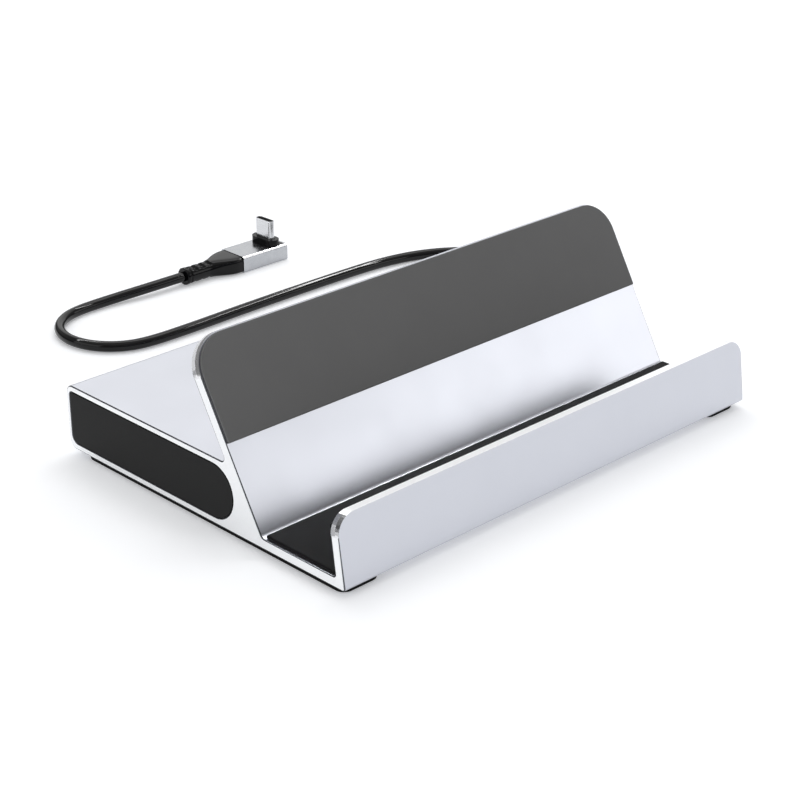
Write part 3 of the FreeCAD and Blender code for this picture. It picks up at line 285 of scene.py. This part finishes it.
def cut_aluminium(name, code):
    """Aluminium, cut with a polished mill after anodising: a line that mirrors light and dark; given a dark
    grey, as on the extrusion's ends, it also carries painted shade.
    """
    material, tree, shader, place = new_material(name, Metallic=1.0, Roughness=0.16)
    # The mill's marks are 0.05 mm apart and are drawn 0.75 mm apart so that they show. The wave texture
    # draws 3.18 bands per unit, so one unit per 2.4 mm gives that spacing.
    marks = add_node(
        tree, "ShaderNodeTexWave", {"Scale": per_metre(2.4), "Distortion": 0.6}, [(place, "Vector")]
    )
    mottle(tree, shader, marks.outputs["Fac"], shade(code, 0.95), code, (0.12, 0.2))
    return material


def faced_aluminium_with_painted_light(code):
    """Aluminium, milled flat and blasted again: a little brighter than the extruded sides, partly from
    painted light in its colour.
    """
    material, tree, shader, place = new_material("aluminium_faced_end_painted_light", Metallic=1.0, Roughness=0.45)
    noise = add_grain(tree, shader, place, 0.3, 0.002)
    mottle(tree, shader, noise.outputs["Fac"], shade(code, 0.985), code, (0.42, 0.48))
    return material


def moulded(name, code, roughness=0.5, grain=0.35, height=0.006, shine=0.1):
    """A dark moulding with the fine, even grain that its spark-eroded tool leaves on it."""
    material, tree, shader, place = new_material(
        name, Roughness=roughness, IOR=1.53, Specular_IOR_Level=shine
    )
    noise = add_grain(tree, shader, place, grain, height)
    spread = (roughness - 0.04, roughness + 0.05)
    mottle(tree, shader, noise.outputs["Fac"], shade(code, 0.92), shade(code, 1.06), spread)
    return material


def moulded_silicone(name, code, roughness):
    """Silicone or rubber, pressed in a mould: matt and even, with clouds too faint to notice."""
    material, tree, shader, place = new_material(
        name, Roughness=roughness, IOR=1.41, Specular_IOR_Level=0.1
    )
    # Pressed silicone has a skin with pores near 0.1 mm, drawn at 0.25 mm so that they show.
    add_grain(tree, shader, place, 0.25, 0.003)
    clouds = add_node(
        tree, "ShaderNodeTexNoise", {"Scale": per_metre(14), "Detail": 4.0}, [(place, "Vector")]
    )
    spread = (roughness - 0.02, roughness + 0.02)
    mottle(tree, shader, clouds.outputs["Fac"], shade(code, 0.99), shade(code, 1.01), spread)
    return material


def cable_jacket(code):
    """Soft PVC, extruded round the cores: smooth and glossy, with slight waves along its length."""
    material, tree, shader, place = new_material(
        "pvc_extruded_jacket", Roughness=0.06, IOR=1.52, Specular_IOR_Level=0.26
    )
    noise = add_grain(tree, shader, place, 2.2, 0.006, 1.0)
    mottle(tree, shader, noise.outputs["Fac"], shade(code, 0.9), shade(code, 1.2), (0.05, 0.08))
    return material


def glossy_moulding():
    """Polycarbonate, moulded in a polished tool: deep black with sharp highlights."""
    material, tree, shader, place = new_material(
        "polycarbonate_polished_black", Roughness=0.12, IOR=1.58, Specular_IOR_Level=0.12
    )
    noise = add_grain(tree, shader, place, 1.6, 0.004, 1.0)
    mottle(tree, shader, noise.outputs["Fac"], "040405", "070708", (0.08, 0.16))
    return material


def plug_aluminium():
    """Aluminium, drawn, finely blasted and anodised: darker and smoother than the extrusion."""
    material, tree, shader, place = new_material("anodised_aluminium_drawn", Metallic=1.0, Roughness=0.22)
    add_grain(tree, shader, place, 0.25, 0.0004)
    noise = add_node(
        tree, "ShaderNodeTexNoise", {"Scale": per_metre(3), "Detail": 2.0}, [(place, "Vector")]
    )
    mottle(tree, shader, noise.outputs["Fac"], "AFB1B5", "B7B9BC", (0.19, 0.25))
    return material


def plated_metal(name, low, high, roughness, streak=0.6, length=8.0):
    """Plated sheet or turned metal: bright, with faint streaks along the way it was rolled or turned."""
    material, tree, shader, place = new_material(name, Metallic=1.0, Roughness=roughness)
    stretch = add_node(
        tree, "ShaderNodeMapping", {"Scale": (per_metre(streak), per_metre(length), per_metre(streak))},
        [(place, "Vector")],
    )
    noise = add_node(
        tree, "ShaderNodeTexNoise", {"Scale": 1.0, "Detail": 3.0}, [(stretch.outputs["Vector"], "Vector")]
    )
    mottle(tree, shader, noise.outputs["Fac"], low, high, (roughness - 0.06, roughness + 0.06))
    bump = add_node(
        tree, "ShaderNodeBump", {"Strength": 0.3, "Distance": 0.002 * MM}, [(noise.outputs["Fac"], "Height")]
    )
    tree.links.new(bump.outputs["Normal"], shader.inputs["Normal"])
    return material


def circuit_board():
    """Glass-fibre laminate under green solder mask: copper tracks show as lighter, raised lines."""
    material, tree, shader, place = new_material("glass_fibre_laminate_solder_mask", Roughness=0.35, IOR=1.5)
    shader.inputs["Coat Weight"].default_value = 0.4
    tracks = add_node(
        tree, "ShaderNodeTexVoronoi",
        {"distance": "CHEBYCHEV", "feature": "F2", "Scale": per_metre(3.0)}, [(place, "Vector")],
    )
    band = add_node(
        tree, "ShaderNodeMath", {"operation": "PINGPONG", 1: 0.08}, [(tracks.outputs["Distance"], 0)]
    )
    mottle(tree, shader, band.outputs["Value"], "0B3A22", "1B6A3C", first=0.035, last=0.045)
    bump = add_node(
        tree, "ShaderNodeBump", {"Strength": 0.5, "Distance": 0.035 * MM}, [(band.outputs["Value"], "Height")]
    )
    tree.links.new(bump.outputs["Normal"], shader.inputs["Normal"])
    return material


def floor_board(code):
    """Card, coated matt white and lit from below: a pale ground with faint shadows."""
    material, tree, shader, place = new_material(
        "card_matt_coated", Roughness=0.9, Emission_Color=linear(code), Emission_Strength=FLOOR_GLOW
    )
    noise = add_node(
        tree, "ShaderNodeTexNoise", {"Scale": per_metre(60), "Detail": 3.0}, [(place, "Vector")]
    )
    mottle(tree, shader, noise.outputs["Fac"], shade(code, 0.995), code)
    return material


def recipes(colours):
    """How each finish is made: the function for it and its values, by the name that pieces call it by."""
    return {
        "metal": (anodised_aluminium, colours.aluminium),
        # The extrusion's end chamfer: its dark grey colour is painted shade.
        "cut": (cut_aluminium, "aluminium_mill_cut", colours.chamfer),
        # Milled ends and the lip's top: their lighter colour is partly painted light.
        "faced": (faced_aluminium_with_painted_light, colours.end_face),
        "plug": (plug_aluminium,),
        "plug_cut": (cut_aluminium, "aluminium_polished_cut", colours.plug_cut),
        # ABS: even satin, with a soft highlight.
        "cap": (moulded, "abs_spark_eroded_black", colours.end_cap),
        # Nylon: satin, a little smoother than the caps.
        "insert": (moulded, "nylon_moulded_black", "171718", 0.45),
        # Epoxy: a dull black.
        "epoxy": (moulded, "epoxy_transfer_moulded", "1B1B1E", 0.55),
        # Ferrite: matt grey with a coarser grain.
        "ferrite": (moulded, "ferrite_pressed", "3A3A3C", 0.7, 0.5, 0.02),
        # Soft elastomer: almost no grain, so it takes a clear highlight.
        "boot": (moulded, "tpe_moulded_satin", colours.boot, 0.13, 0.4, 0.0004, 0.2),
        "gloss": (glossy_moulding,),
        "jacket": (cable_jacket, colours.jacket),
        "grey": (moulded_silicone, "silicone_pressed_grey", colours.grey_pad, 0.6),
        "black": (moulded_silicone, "silicone_pressed_black", colours.black_pad, 0.5),
        "rubber": (moulded_silicone, "rubber_moulded_black", colours.foot, 0.7),
        "thermal": (moulded_silicone, "silicone_thermal_blue", "8FA3B8", 0.75),
        "tip": (plated_metal, "steel_drawn_nickel_plated", "C9CACC", "D6D7D9", 0.2, 0.5, 6.0),
        "nickel": (plated_metal, "steel_nickel_plated", "BDBBB6", "CBC9C4", 0.28),
        "gold": (plated_metal, "copper_gold_plated", "D9AE5A", "E8C478", 0.24, 0.2, 2.0),
        "zinc": (plated_metal, "steel_zinc_plated", "A9ABB0", "BCBEC2", 0.34),
        "brass": (plated_metal, "brass_turned", "B8924B", "C9A65F", 0.3, 0.3, 0.3),
        "can": (plated_metal, "aluminium_drawn_can", "C4C6CA", "D2D4D8", 0.26, 0.3, 0.3),
        "board": (circuit_board,),
    }


FINISHES = {}


def finish(name):
    """A finish by name, made once and then shared."""
    if name not in FINISHES:
        build, *values = recipes(bpy.context.scene.dock_colours)[name]
        FINISHES[name] = build(*values)
    return FINISHES[name]


# ---- mesh tools ----


def as_piece(name, mesh, materials, nodes=()):
    """Put a mesh in the scene as one piece of the object and hide the CAD nodes it stands for."""
    piece = bpy.data.objects.new(name, mesh)
    bpy.context.scene.collection.objects.link(piece)
    for material in materials:
        mesh.materials.append(material)
    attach(piece, "root")
    if nodes:
        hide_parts(*nodes)
    return piece


def mesh_from(bm, name):
    """End the work on a mesh and give the result its name."""
    mesh = bpy.data.meshes.new(name)
    bm.to_mesh(mesh)
    bm.free()
    return mesh


def smooth_piece(name, mesh, materials, nodes=()):
    """A piece with smooth shading that keeps its large flat faces flat."""
    piece = as_piece(name, mesh, materials, nodes)
    for face in piece.data.polygons:
        face.use_smooth = True
    weights = piece.modifiers.new("flat faces stay flat", "WEIGHTED_NORMAL")
    weights.mode = "FACE_AREA"
    weights.weight = 60
    weights.keep_sharp = True


def round_off(bm, edges, radius, segments, material=-1, clamp=True):
    """Bevel some edges of a mesh; unclamped, the radius holds round small arcs too."""
    bmesh.ops.bevel(
        bm, geom=list(edges), offset=radius, offset_type="OFFSET", segments=segments, profile=0.5,
        affect="EDGES", clamp_overlap=clamp, material=material, loop_slide=True,
    )


def sharp_edges(bm, degrees=35.0):
    """The edges where two faces meet at more than an angle."""
    limit = math.radians(degrees)
    return [edge for edge in bm.edges if len(edge.link_faces) == 2 and edge.calc_face_angle() > limit]


def whole_shape(node):
    """A CAD node's shape as a mesh whose flat faces are in one piece each."""
    bm = bmesh.new()
    bm.from_mesh(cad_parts[node].data)
    bmesh.ops.remove_doubles(bm, verts=bm.verts, dist=1e-6)
    bmesh.ops.dissolve_limit(bm, angle_limit=math.radians(0.5), verts=bm.verts, edges=bm.edges)
    return bm


def rounded_piece(name, node, material, radius, segments=3):
    """A piece in a CAD node's shape with its sharp edges rounded."""
    bm = whole_shape(node)
    round_off(bm, sharp_edges(bm), radius, segments)
    smooth_piece(name, mesh_from(bm, name), [material], [node])


def skin_rings(name, rings, material, node):
    """Join rings of points with quads, and close both ends."""
    bm = bmesh.new()
    made = [[bm.verts.new(point) for point in ring] for ring in rings]
    for first, second in zip(made, made[1:]):
        count = len(first)
        for index in range(count):
            after = (index + 1) % count
            bm.faces.new((first[index], first[after], second[after], second[index]))
    bm.faces.new(list(reversed(made[0])))
    bm.faces.new(made[-1])
    bmesh.ops.recalc_face_normals(bm, faces=bm.faces)
    smooth_piece(name, mesh_from(bm, name), [material], [node])


def box_piece(name, low, high, material, radius):
    """A small bar with rounded edges."""
    bm = bmesh.new()
    bmesh.ops.create_cube(bm, size=1.0)
    middle = (Vector(low) + Vector(high)) / 2
    span = Vector(high) - Vector(low)
    for vert in bm.verts:
        vert.co = middle + Vector(a * b for a, b in zip(vert.co, span))
    round_off(bm, bm.edges[:], radius, 2)
    smooth_piece(name, mesh_from(bm, name), [material])


# ---- the pieces ----


class DOCK_OT_extrusion(bpy.types.Operator):
    """Build the extrusion: blasted faces, polished cuts round both ends darkened with painted shade, small
    rounded edges elsewhere.
    """

    bl_idname = "dock.extrusion"
    bl_label = "Extrusion"

    # Each finish's place in the extrusion's list of metals, after the plain skin's.
    CUT = 1
    FACED_AND_LIT = 2
    CORNER = 3

    def execute(self, context):
        sizes = context.scene.dock_sizes
        bm = whole_shape("chassis_extrusion")
        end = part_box("chassis_extrusion")[1].x

        def at_an_end(edge):
            return all(abs(abs(vert.co.x) - end) < NEAR for vert in edge.verts)

        ends = [edge for edge in sharp_edges(bm) if at_an_end(edge)]
        # The end chamfers take the cut metal, whose dark grey is painted shade.
        round_off(bm, ends, sizes.end_chamfer, 2, self.CUT, clamp=False)
        self.mark_faces(bm, end)
        rest = [edge for edge in sharp_edges(bm, 60.0) if not self.is_polished(edge)]
        round_off(bm, rest, sizes.metal_edge, 2)
        metals = [finish(name) for name in ("metal", "cut", "faced", "plug_cut")]
        mesh = mesh_from(bm, "extrusion")
        smooth_piece("extrusion", mesh, metals, ["chassis_extrusion"])
        return {"FINISHED"}

    def is_polished(self, edge):
        """Whether an edge borders a polished cut or corner."""
        return any(face.material_index in (self.CUT, self.CORNER) for face in edge.link_faces)

    def mark_faces(self, bm, end):
        """Give the milled ends, the lip's milled top and the polished corners their finishes; the ends and
        the lip's top are lighter partly from painted light.
        """
        front = CAD_BOX[0].y
        # The lip's highest point is looked for in the first depth, and its milled top in the second.
        lip_depth = 6 * MM
        top_depth = 8 * MM
        top_drop = 0.6 * MM
        # How squarely a face looks along an axis, from 0 for not at all to 1 for straight along it.
        square = 0.999
        upward = 0.9
        slanted = 0.03
        lip_top = max(vert.co.z for vert in bm.verts if vert.co.y < front + lip_depth)
        for face in bm.faces:
            middle = face.calc_center_median()
            sideways = abs(face.normal.x)
            faced = sideways > square and abs(abs(middle.x) - end) < NEAR
            on_lip = middle.z > lip_top - top_drop and middle.y < front + top_depth
            corner = slanted < sideways < square and face.normal.z > slanted
            # The ends and the lip's upward top get the lighter metal, which is partly painted light.
            if faced or (on_lip and face.normal.z > upward):
                face.material_index = self.FACED_AND_LIT
            elif corner and face.material_index == 0:
                face.material_index = self.CORNER


class DOCK_OT_end_caps(bpy.types.Operator):
    """Build the two black caps, with softly rounded edges."""

    bl_idname = "dock.end_caps"
    bl_label = "End caps"

    def execute(self, context):
        edge = context.scene.dock_sizes.cap_edge
        for node in ("left_end_cap", "right_end_cap"):
            rounded_piece(f"{node}_moulding", node, finish("cap"), edge)
        return {"FINISHED"}


class DOCK_OT_pads(bpy.types.Operator):
    """Build the grey pad on the backrest and the black pad in the channel."""

    bl_idname = "dock.pads"
    bl_label = "Pads"

    def execute(self, context):
        edge = context.scene.dock_sizes.pad_edge
        rounded_piece("backrest_pad_silicone", "backrest_pad", finish("grey"), edge)
        rounded_piece("channel_pad_silicone", "channel_pad", finish("black"), edge)
        return {"FINISHED"}


class DOCK_OT_feet(bpy.types.Operator):
    """Build the rubber strips under both ends."""

    bl_idname = "dock.feet"
    bl_label = "Feet"

    def execute(self, context):
        edge = context.scene.dock_sizes.foot_edge
        for node in ("left_foot_strip", "right_foot_strip"):
            rounded_piece(f"{node}_rubber", node, finish("rubber"), edge)
        return {"FINISHED"}


class DOCK_OT_sockets(bpy.types.Operator):
    """Build the plated shells and the black inserts of the sockets in the rear wall, with their contacts."""

    bl_idname = "dock.sockets"
    bl_label = "Sockets"

    def execute(self, context):
        edge = context.scene.dock_sizes.socket_edge
        nickel, satin = finish("nickel"), finish("insert")
        for stem in ("data_socket_1", "data_socket_2", "video_socket", "power_socket"):
            rounded_piece(f"{stem}_sheet", f"{stem}_shell", nickel, edge, 2)
            rounded_piece(f"{stem}_moulding", f"{stem}_insert", satin, edge, 2)
        rounded_piece("network_jack_sheet", "network_jack_shield", nickel, edge, 2)
        rounded_piece("network_jack_moulding", "network_jack_body", satin, 2 * edge, 2)
        # How many contacts a socket's tongue has, their pitch and their width.
        data_row = (4, 2.0 * MM, 1.0 * MM)
        video_row = (9, 0.95 * MM, 0.5 * MM)
        self.add_contacts("data_socket_1", *data_row)
        self.add_contacts("data_socket_2", *data_row)
        self.add_contacts("video_socket", *video_row)
        return {"FINISHED"}

    def add_contacts(self, stem, count, pitch, width):
        """Flat gilt contacts in a row under a socket's tongue, which is the front part of its insert."""
        verts = [vert.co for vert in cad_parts[f"{stem}_insert"].data.vertices]
        front = max(point.y for point in verts)
        tip_depth = 0.2 * MM
        tongue = [point for point in verts if point.y > front - tip_depth]
        low_x, high_x = min(p.x for p in tongue), max(p.x for p in tongue)
        low_z = min(p.z for p in tongue)
        near_end = 0.5 * MM
        far_end = 6.5 * MM
        proud = 0.12 * MM
        sunk = 0.03 * MM
        edge = 0.04 * MM
        for index in range(count):
            x = (low_x + high_x) / 2 + (index - (count - 1) / 2) * pitch
            low = (x - width / 2, front - far_end, low_z - proud)
            high = (x + width / 2, front - near_end, low_z + sunk)
            box_piece(f"{stem}_contact_{index}", low, high, finish("gold"), edge)


class DOCK_OT_board(bpy.types.Operator):
    """Give the board and what is on it their finishes; their shapes stay as designed."""

    bl_idname = "dock.board"
    bl_label = "Board"

    def execute(self, context):
        finishes = {
            "main_board": "board",
            "board_standoffs": "brass",
            "base_screws": "zinc",
            "board_screws": "zinc",
            "hub_controller": "epoxy",
            "video_converter": "epoxy",
            "network_controller": "epoxy",
            "power_controller": "epoxy",
            "network_transformer": "epoxy",
            "hub_thermal_pad": "thermal",
            "power_coils": "ferrite",
            "filter_capacitors": "can",
            "network_contacts": "gold",
            "internal_lead": "jacket",
            "lead_connector": "gloss",
        }
        for node, name in finishes.items():
            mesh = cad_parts[node].data
            mesh.materials.clear()
            mesh.materials.append(finish(name))
        return {"FINISHED"}


def oval_ring(x, middle_y, middle_z, width, height, power, count, dent=None):
    """A ring across X: a rounded rectangle whose corners sharpen as `power` grows from 2."""
    points = []
    for index in range(count):
        angle = 2 * math.pi * index / count
        cosine, sine = math.cos(angle), math.sin(angle)
        y = math.copysign(abs(cosine) ** (2 / power), cosine) * width / 2
        z = math.copysign(abs(sine) ** (2 / power), sine) * height / 2
        if dent:
            y, z = dent(y, z)
        points.append((x, middle_y + y, middle_z + z))
    return points


def ease(share):
    """A smooth step from 0 to 1."""
    share = min(1.0, max(0.0, share))
    return share * share * (3 - 2 * share)


class DOCK_OT_cable(bpy.types.Operator):
    """Lay the link cable along its route, with the ringed strain relief where it leaves the dock."""

    bl_idname = "dock.cable"
    bl_label = "Cable"

    def execute(self, context):
        curve = bpy.data.curves.new("link_cable_jacket", "CURVE")
        curve.dimensions = "3D"
        curve.bevel_depth = context.scene.dock_sizes.cable_radius
        curve.bevel_resolution = 8
        curve.resolution_u = 16
        curve.use_fill_caps = True
        spline = curve.splines.new("NURBS")
        spline.points.add(len(CABLE_ROUTE) - 1)
        for point, place in zip(spline.points, CABLE_ROUTE):
            point.co = (*place, 1.0)
        spline.order_u = 3
        spline.use_endpoint_u = True
        as_piece("link_cable_jacket", curve, [finish("jacket")], ["link_cable"])
        self.build_relief()
        return {"FINISHED"}

    def build_relief(self):
        """A tapered sleeve with grooves between its rings, a flange at the cap and a lip at its tip."""
        low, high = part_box("cable_strain_relief")
        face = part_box("right_end_cap")[1].x
        middle_y = (low.y + high.y) / 2
        middle_z = (low.z + high.z) / 2
        length = high.x - face
        # Radii inside the cap, at the flange and at the tip.
        neck = 2.8 * MM
        root = 3.6 * MM
        tip = 2.45 * MM
        flange_edge = 0.3 * MM
        flange_end = face + 2.4 * MM
        slope = 0.4 * MM
        lip = 1.2 * MM
        lip_edge = 0.25 * MM
        groove = 0.55 * MM
        # Along one groove and its ring: the share of a pitch, and the depth below the taper there.
        profile = ((0.0, groove), (0.3, groove), (0.36, 0.0), (0.94, 0.06 * MM))
        count = 5
        start = flange_end + 2 * slope
        pitch = (high.x - lip - start) / count
        # Each station is a place along X and the sleeve's radius there.
        stations = [(low.x, neck), (face, neck), (face, root - flange_edge), (face + flange_edge, root)]
        stations += [(flange_end, root), (flange_end + slope, root - slope)]
        for index in range(count):
            begin = start + index * pitch
            radius = root + (tip - root) * (begin - face) / length
            stations += [(begin + share * pitch, radius - depth) for share, depth in profile]
        stations += [(high.x - lip, tip), (high.x - lip_edge, tip), (high.x, tip - lip_edge)]
        rings = [oval_ring(x, middle_y, middle_z, 2 * radius, 2 * radius, 2.0, 64) for x, radius in stations]
        skin_rings("strain_relief_sleeve", rings, finish("boot"), "cable_strain_relief")


class DOCK_OT_plug(bpy.types.Operator):
    """Build the angled plug: slotted boot, aluminium housing, black collar and the metal tip."""

    bl_idname = "dock.plug"
    bl_label = "Plug"

    def execute(self, context):
        sizes = context.scene.dock_sizes
        self.build_boot(sizes)
        self.build_housing(sizes)
        edge = sizes.plug_edge
        gloss = finish("gloss")
        rounded_piece("plug_core_moulding", "plug_core", gloss, edge, 2)
        rounded_piece("plug_collar_moulding", "plug_collar", gloss, 3 * edge, 4)
        rounded_piece("plug_tip_shell", "plug_tip", finish("tip"), edge, 3)
        rounded_piece("plug_tip_lining", "plug_insert", finish("insert"), 0.5 * edge, 2)
        return {"FINISHED"}

    def build_boot(self, sizes):
        """Round and ringed at the cable, slotted on top and below, flared, with a seam at the housing."""
        low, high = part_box("plug_boot")
        middle_y = (low.y + high.y) / 2
        middle_z = (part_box("plug_housing")[0].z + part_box("plug_housing")[1].z) / 2
        length = high.x - low.x
        neck = 6.0 * MM
        wide = high.y - low.y
        tall = 5.9 * MM
        seam = 0.35 * MM
        # The grip slots: their number, length, half width and pitch, and where the first one starts.
        slots = 3
        slot = 1.5 * MM
        slot_half = 2.1 * MM
        pitch = 3.1 * MM
        first_slot = low.x + 3.4 * MM
        # The sides of the slots and of the seam slant by this much.
        wall = 0.06 * MM
        starts = [first_slot + index * pitch for index in range(slots)]
        edges = [x for begin in starts for x in (begin - wall, begin, begin + slot, begin + slot + wall)]
        # The ring at the cable and the groove behind it, in millimetres along the boot: the places that
        # need a section, and how far the surface stands out up to each place.
        ring_places = (0.0, 0.25, 1.15, 1.35, 1.45, 2.1, 2.2, 2.5)
        ring_profile = ((0.2, -0.25), (1.4, 0.0), (2.15, -0.55))
        ring_end = 2.6 * MM
        behind_ring = -0.12 * MM
        steps = 44
        even = [low.x + share * length / steps for share in range(steps + 1)]
        clear = [x for x in even if x > low.x + ring_end and all(abs(x - edge) > 2 * wall for edge in edges)]
        ring = [low.x + place * MM for place in ring_places]
        places = sorted(clear + edges + ring + [high.x - seam - wall, high.x - seam])

        def stand_out(x):
            """How far the surface stands out at the ring and in the groove behind it."""
            for limit, height in ring_profile:
                if (x - low.x) / MM < limit:
                    return height * MM
            return behind_ring

        def in_slot(x):
            return any(begin - wall / 2 < x < begin + slot + wall / 2 for begin in starts)

        # The shares of the length where the widening starts and over which it runs.
        flare_start = 0.42
        flare_run = 0.5
        rings = []
        for x in places:
            flare = ease(((x - low.x) / length - flare_start) / flare_run)
            extra = 2 * stand_out(x) * (1 - flare)
            width = neck + (wide - neck) * flare + extra
            height = neck + (tall - neck) * flare + extra
            # Round at the cable, nearly square at the housing.
            power = 2.0 + 3.4 * flare
            depth = sizes.boot_groove if in_slot(x) else 0.0
            if x > high.x - seam - wall / 2:
                width -= seam
                height -= seam

            def dent(y, z, depth=depth):
                if depth and abs(y) < slot_half and abs(z) > depth:
                    return y, z - math.copysign(depth, z)
                return y, z

            rings.append(oval_ring(x, middle_y, middle_z, width, height, power, 96, dent))
        skin_rings("plug_boot_moulding", rings, finish("boot"), "plug_boot")

    def build_housing(self, sizes):
        """The housing with a bright cut along its long upper edges."""
        bm = whole_shape("plug_housing")
        round_off(bm, sharp_edges(bm), sizes.plug_edge, 2)
        mesh = mesh_from(bm, "plug_housing_sleeve")
        slanted = 0.2
        for face in mesh.polygons:
            if face.normal.z > slanted and abs(face.normal.y) > slanted:
                face.material_index = 1
        metals = [finish("plug"), finish("plug_cut")]
        smooth_piece("plug_housing_sleeve", mesh, metals, ["plug_housing"])


class DOCK_OT_stage(bpy.types.Operator):
    """Set out the pale floor, the soft lights and the camera."""

    bl_idname = "dock.stage"
    bl_label = "Stage"

    def execute(self, context):
        scene = context.scene
        stage = scene.dock_stage
        self.add_camera(scene, stage)
        self.add_floor(scene, stage)
        for panel in PANELS:
            self.add_panel(scene, *panel)
        # The strips make highlights only, so they draw no edge on the floor.
        for name in STRIPS:
            bpy.data.objects[name].visible_diffuse = False
        self.add_sky(scene, stage)
        scene.view_settings.view_transform = "Standard"
        return {"FINISHED"}

    def add_camera(self, scene, stage):
        """The camera, at the angle the dock is shown from."""
        data = bpy.data.cameras.new("camera")
        data.lens = stage.lens
        data.sensor_width = 36.0
        data.clip_start = 0.01
        data.clip_end = 50.0
        camera = bpy.data.objects.new("camera", data)
        camera.location = stage.place
        camera.rotation_euler = stage.turn
        scene.collection.objects.link(camera)
        scene.camera = camera

    def add_floor(self, scene, stage):
        """One flat pale sheet."""
        bm = bmesh.new()
        bmesh.ops.create_grid(bm, x_segments=8, y_segments=8, size=stage.floor_side / 2)
        mesh = mesh_from(bm, "floor")
        mesh.materials.append(floor_board(stage.floor_colour))
        floor = bpy.data.objects.new("floor", mesh)
        scene.collection.objects.link(floor)

    def add_panel(self, scene, name, azimuth, elevation, distance, width, height, radiance):
        """A rectangular soft box that faces the dock; azimuth is clockwise from the rear, seen from above."""
        turn, rise = math.radians(azimuth), math.radians(elevation)
        away = Vector((math.sin(turn) * math.cos(rise), math.cos(turn) * math.cos(rise), math.sin(rise)))
        data = bpy.data.lights.new(name, "AREA")
        data.shape = "RECTANGLE"
        data.size = width
        data.size_y = height
        data.energy = radiance * math.pi * width * height
        light = bpy.data.objects.new(name, data)
        light.location = away * distance
        light.rotation_euler = (-away).to_track_quat("-Z", "Y").to_euler()
        scene.collection.objects.link(light)

    def add_sky(self, scene, stage):
        """Light from all round: grey up to the horizon, white from 24 degrees above it."""
        world = bpy.data.worlds.new("studio")
        world.use_nodes = True
        tree = world.node_tree
        background = tree.nodes["Background"]
        background.inputs["Strength"].default_value = stage.sky
        place = add_node(tree, "ShaderNodeTexCoord").outputs["Generated"]
        parts = add_node(tree, "ShaderNodeSeparateXYZ", {}, [(place, "Vector")])
        ramp = add_node(tree, "ShaderNodeValToRGB", {}, [(parts.outputs["Z"], "Fac")])
        ramp.color_ramp.elements[0].position = 0.02
        ramp.color_ramp.elements[1].position = 0.4
        ramp.color_ramp.elements[0].color = linear("5A5B5E")
        ramp.color_ramp.elements[1].color = linear("FFFFFF")
        tree.links.new(ramp.outputs["Color"], background.inputs["Color"])
        scene.world = world


class DOCK_PT_looks(bpy.types.Panel):
    """The dock's pieces, sizes and colours."""

    bl_idname = "DOCK_PT_looks"
    bl_label = "Laptop dock"
    bl_space_type = "VIEW_3D"
    bl_region_type = "UI"
    bl_category = "Dock"

    def draw(self, context):
        layout = self.layout
        for operator in OPERATORS:
            layout.operator(operator.bl_idname)
        for group in (context.scene.dock_sizes, context.scene.dock_colours, context.scene.dock_stage):
            box = layout.box()
            for name in group.__annotations__:
                box.prop(group, name)


OPERATORS = (
    DOCK_OT_stage,
    DOCK_OT_cable,
    DOCK_OT_plug,
    DOCK_OT_extrusion,
    DOCK_OT_end_caps,
    DOCK_OT_pads,
    DOCK_OT_feet,
    DOCK_OT_sockets,
    DOCK_OT_board,
)
GROUPS = {"dock_sizes": DockSizes, "dock_colours": DockColours, "dock_stage": StageSettings}


def register():
    """Make Blender's classes known and hang the settings on the scene."""
    for made in (*GROUPS.values(), *OPERATORS, DOCK_PT_looks):
        bpy.utils.register_class(made)
    for name, group in GROUPS.items():
        setattr(bpy.types.Scene, name, PointerProperty(type=group))


def unregister():
    """Undo register."""
    for name in GROUPS:
        delattr(bpy.types.Scene, name)
    for made in reversed((*GROUPS.values(), *OPERATORS, DOCK_PT_looks)):
        bpy.utils.unregister_class(made)


def main():
    """Build every piece."""
    register()
    bpy.ops.dock.stage()
    bpy.ops.dock.cable()
    bpy.ops.dock.plug()
    bpy.ops.dock.extrusion()
    bpy.ops.dock.end_caps()
    bpy.ops.dock.pads()
    bpy.ops.dock.feet()
    bpy.ops.dock.sockets()
    bpy.ops.dock.board()


if __name__ == "__main__":
    main()
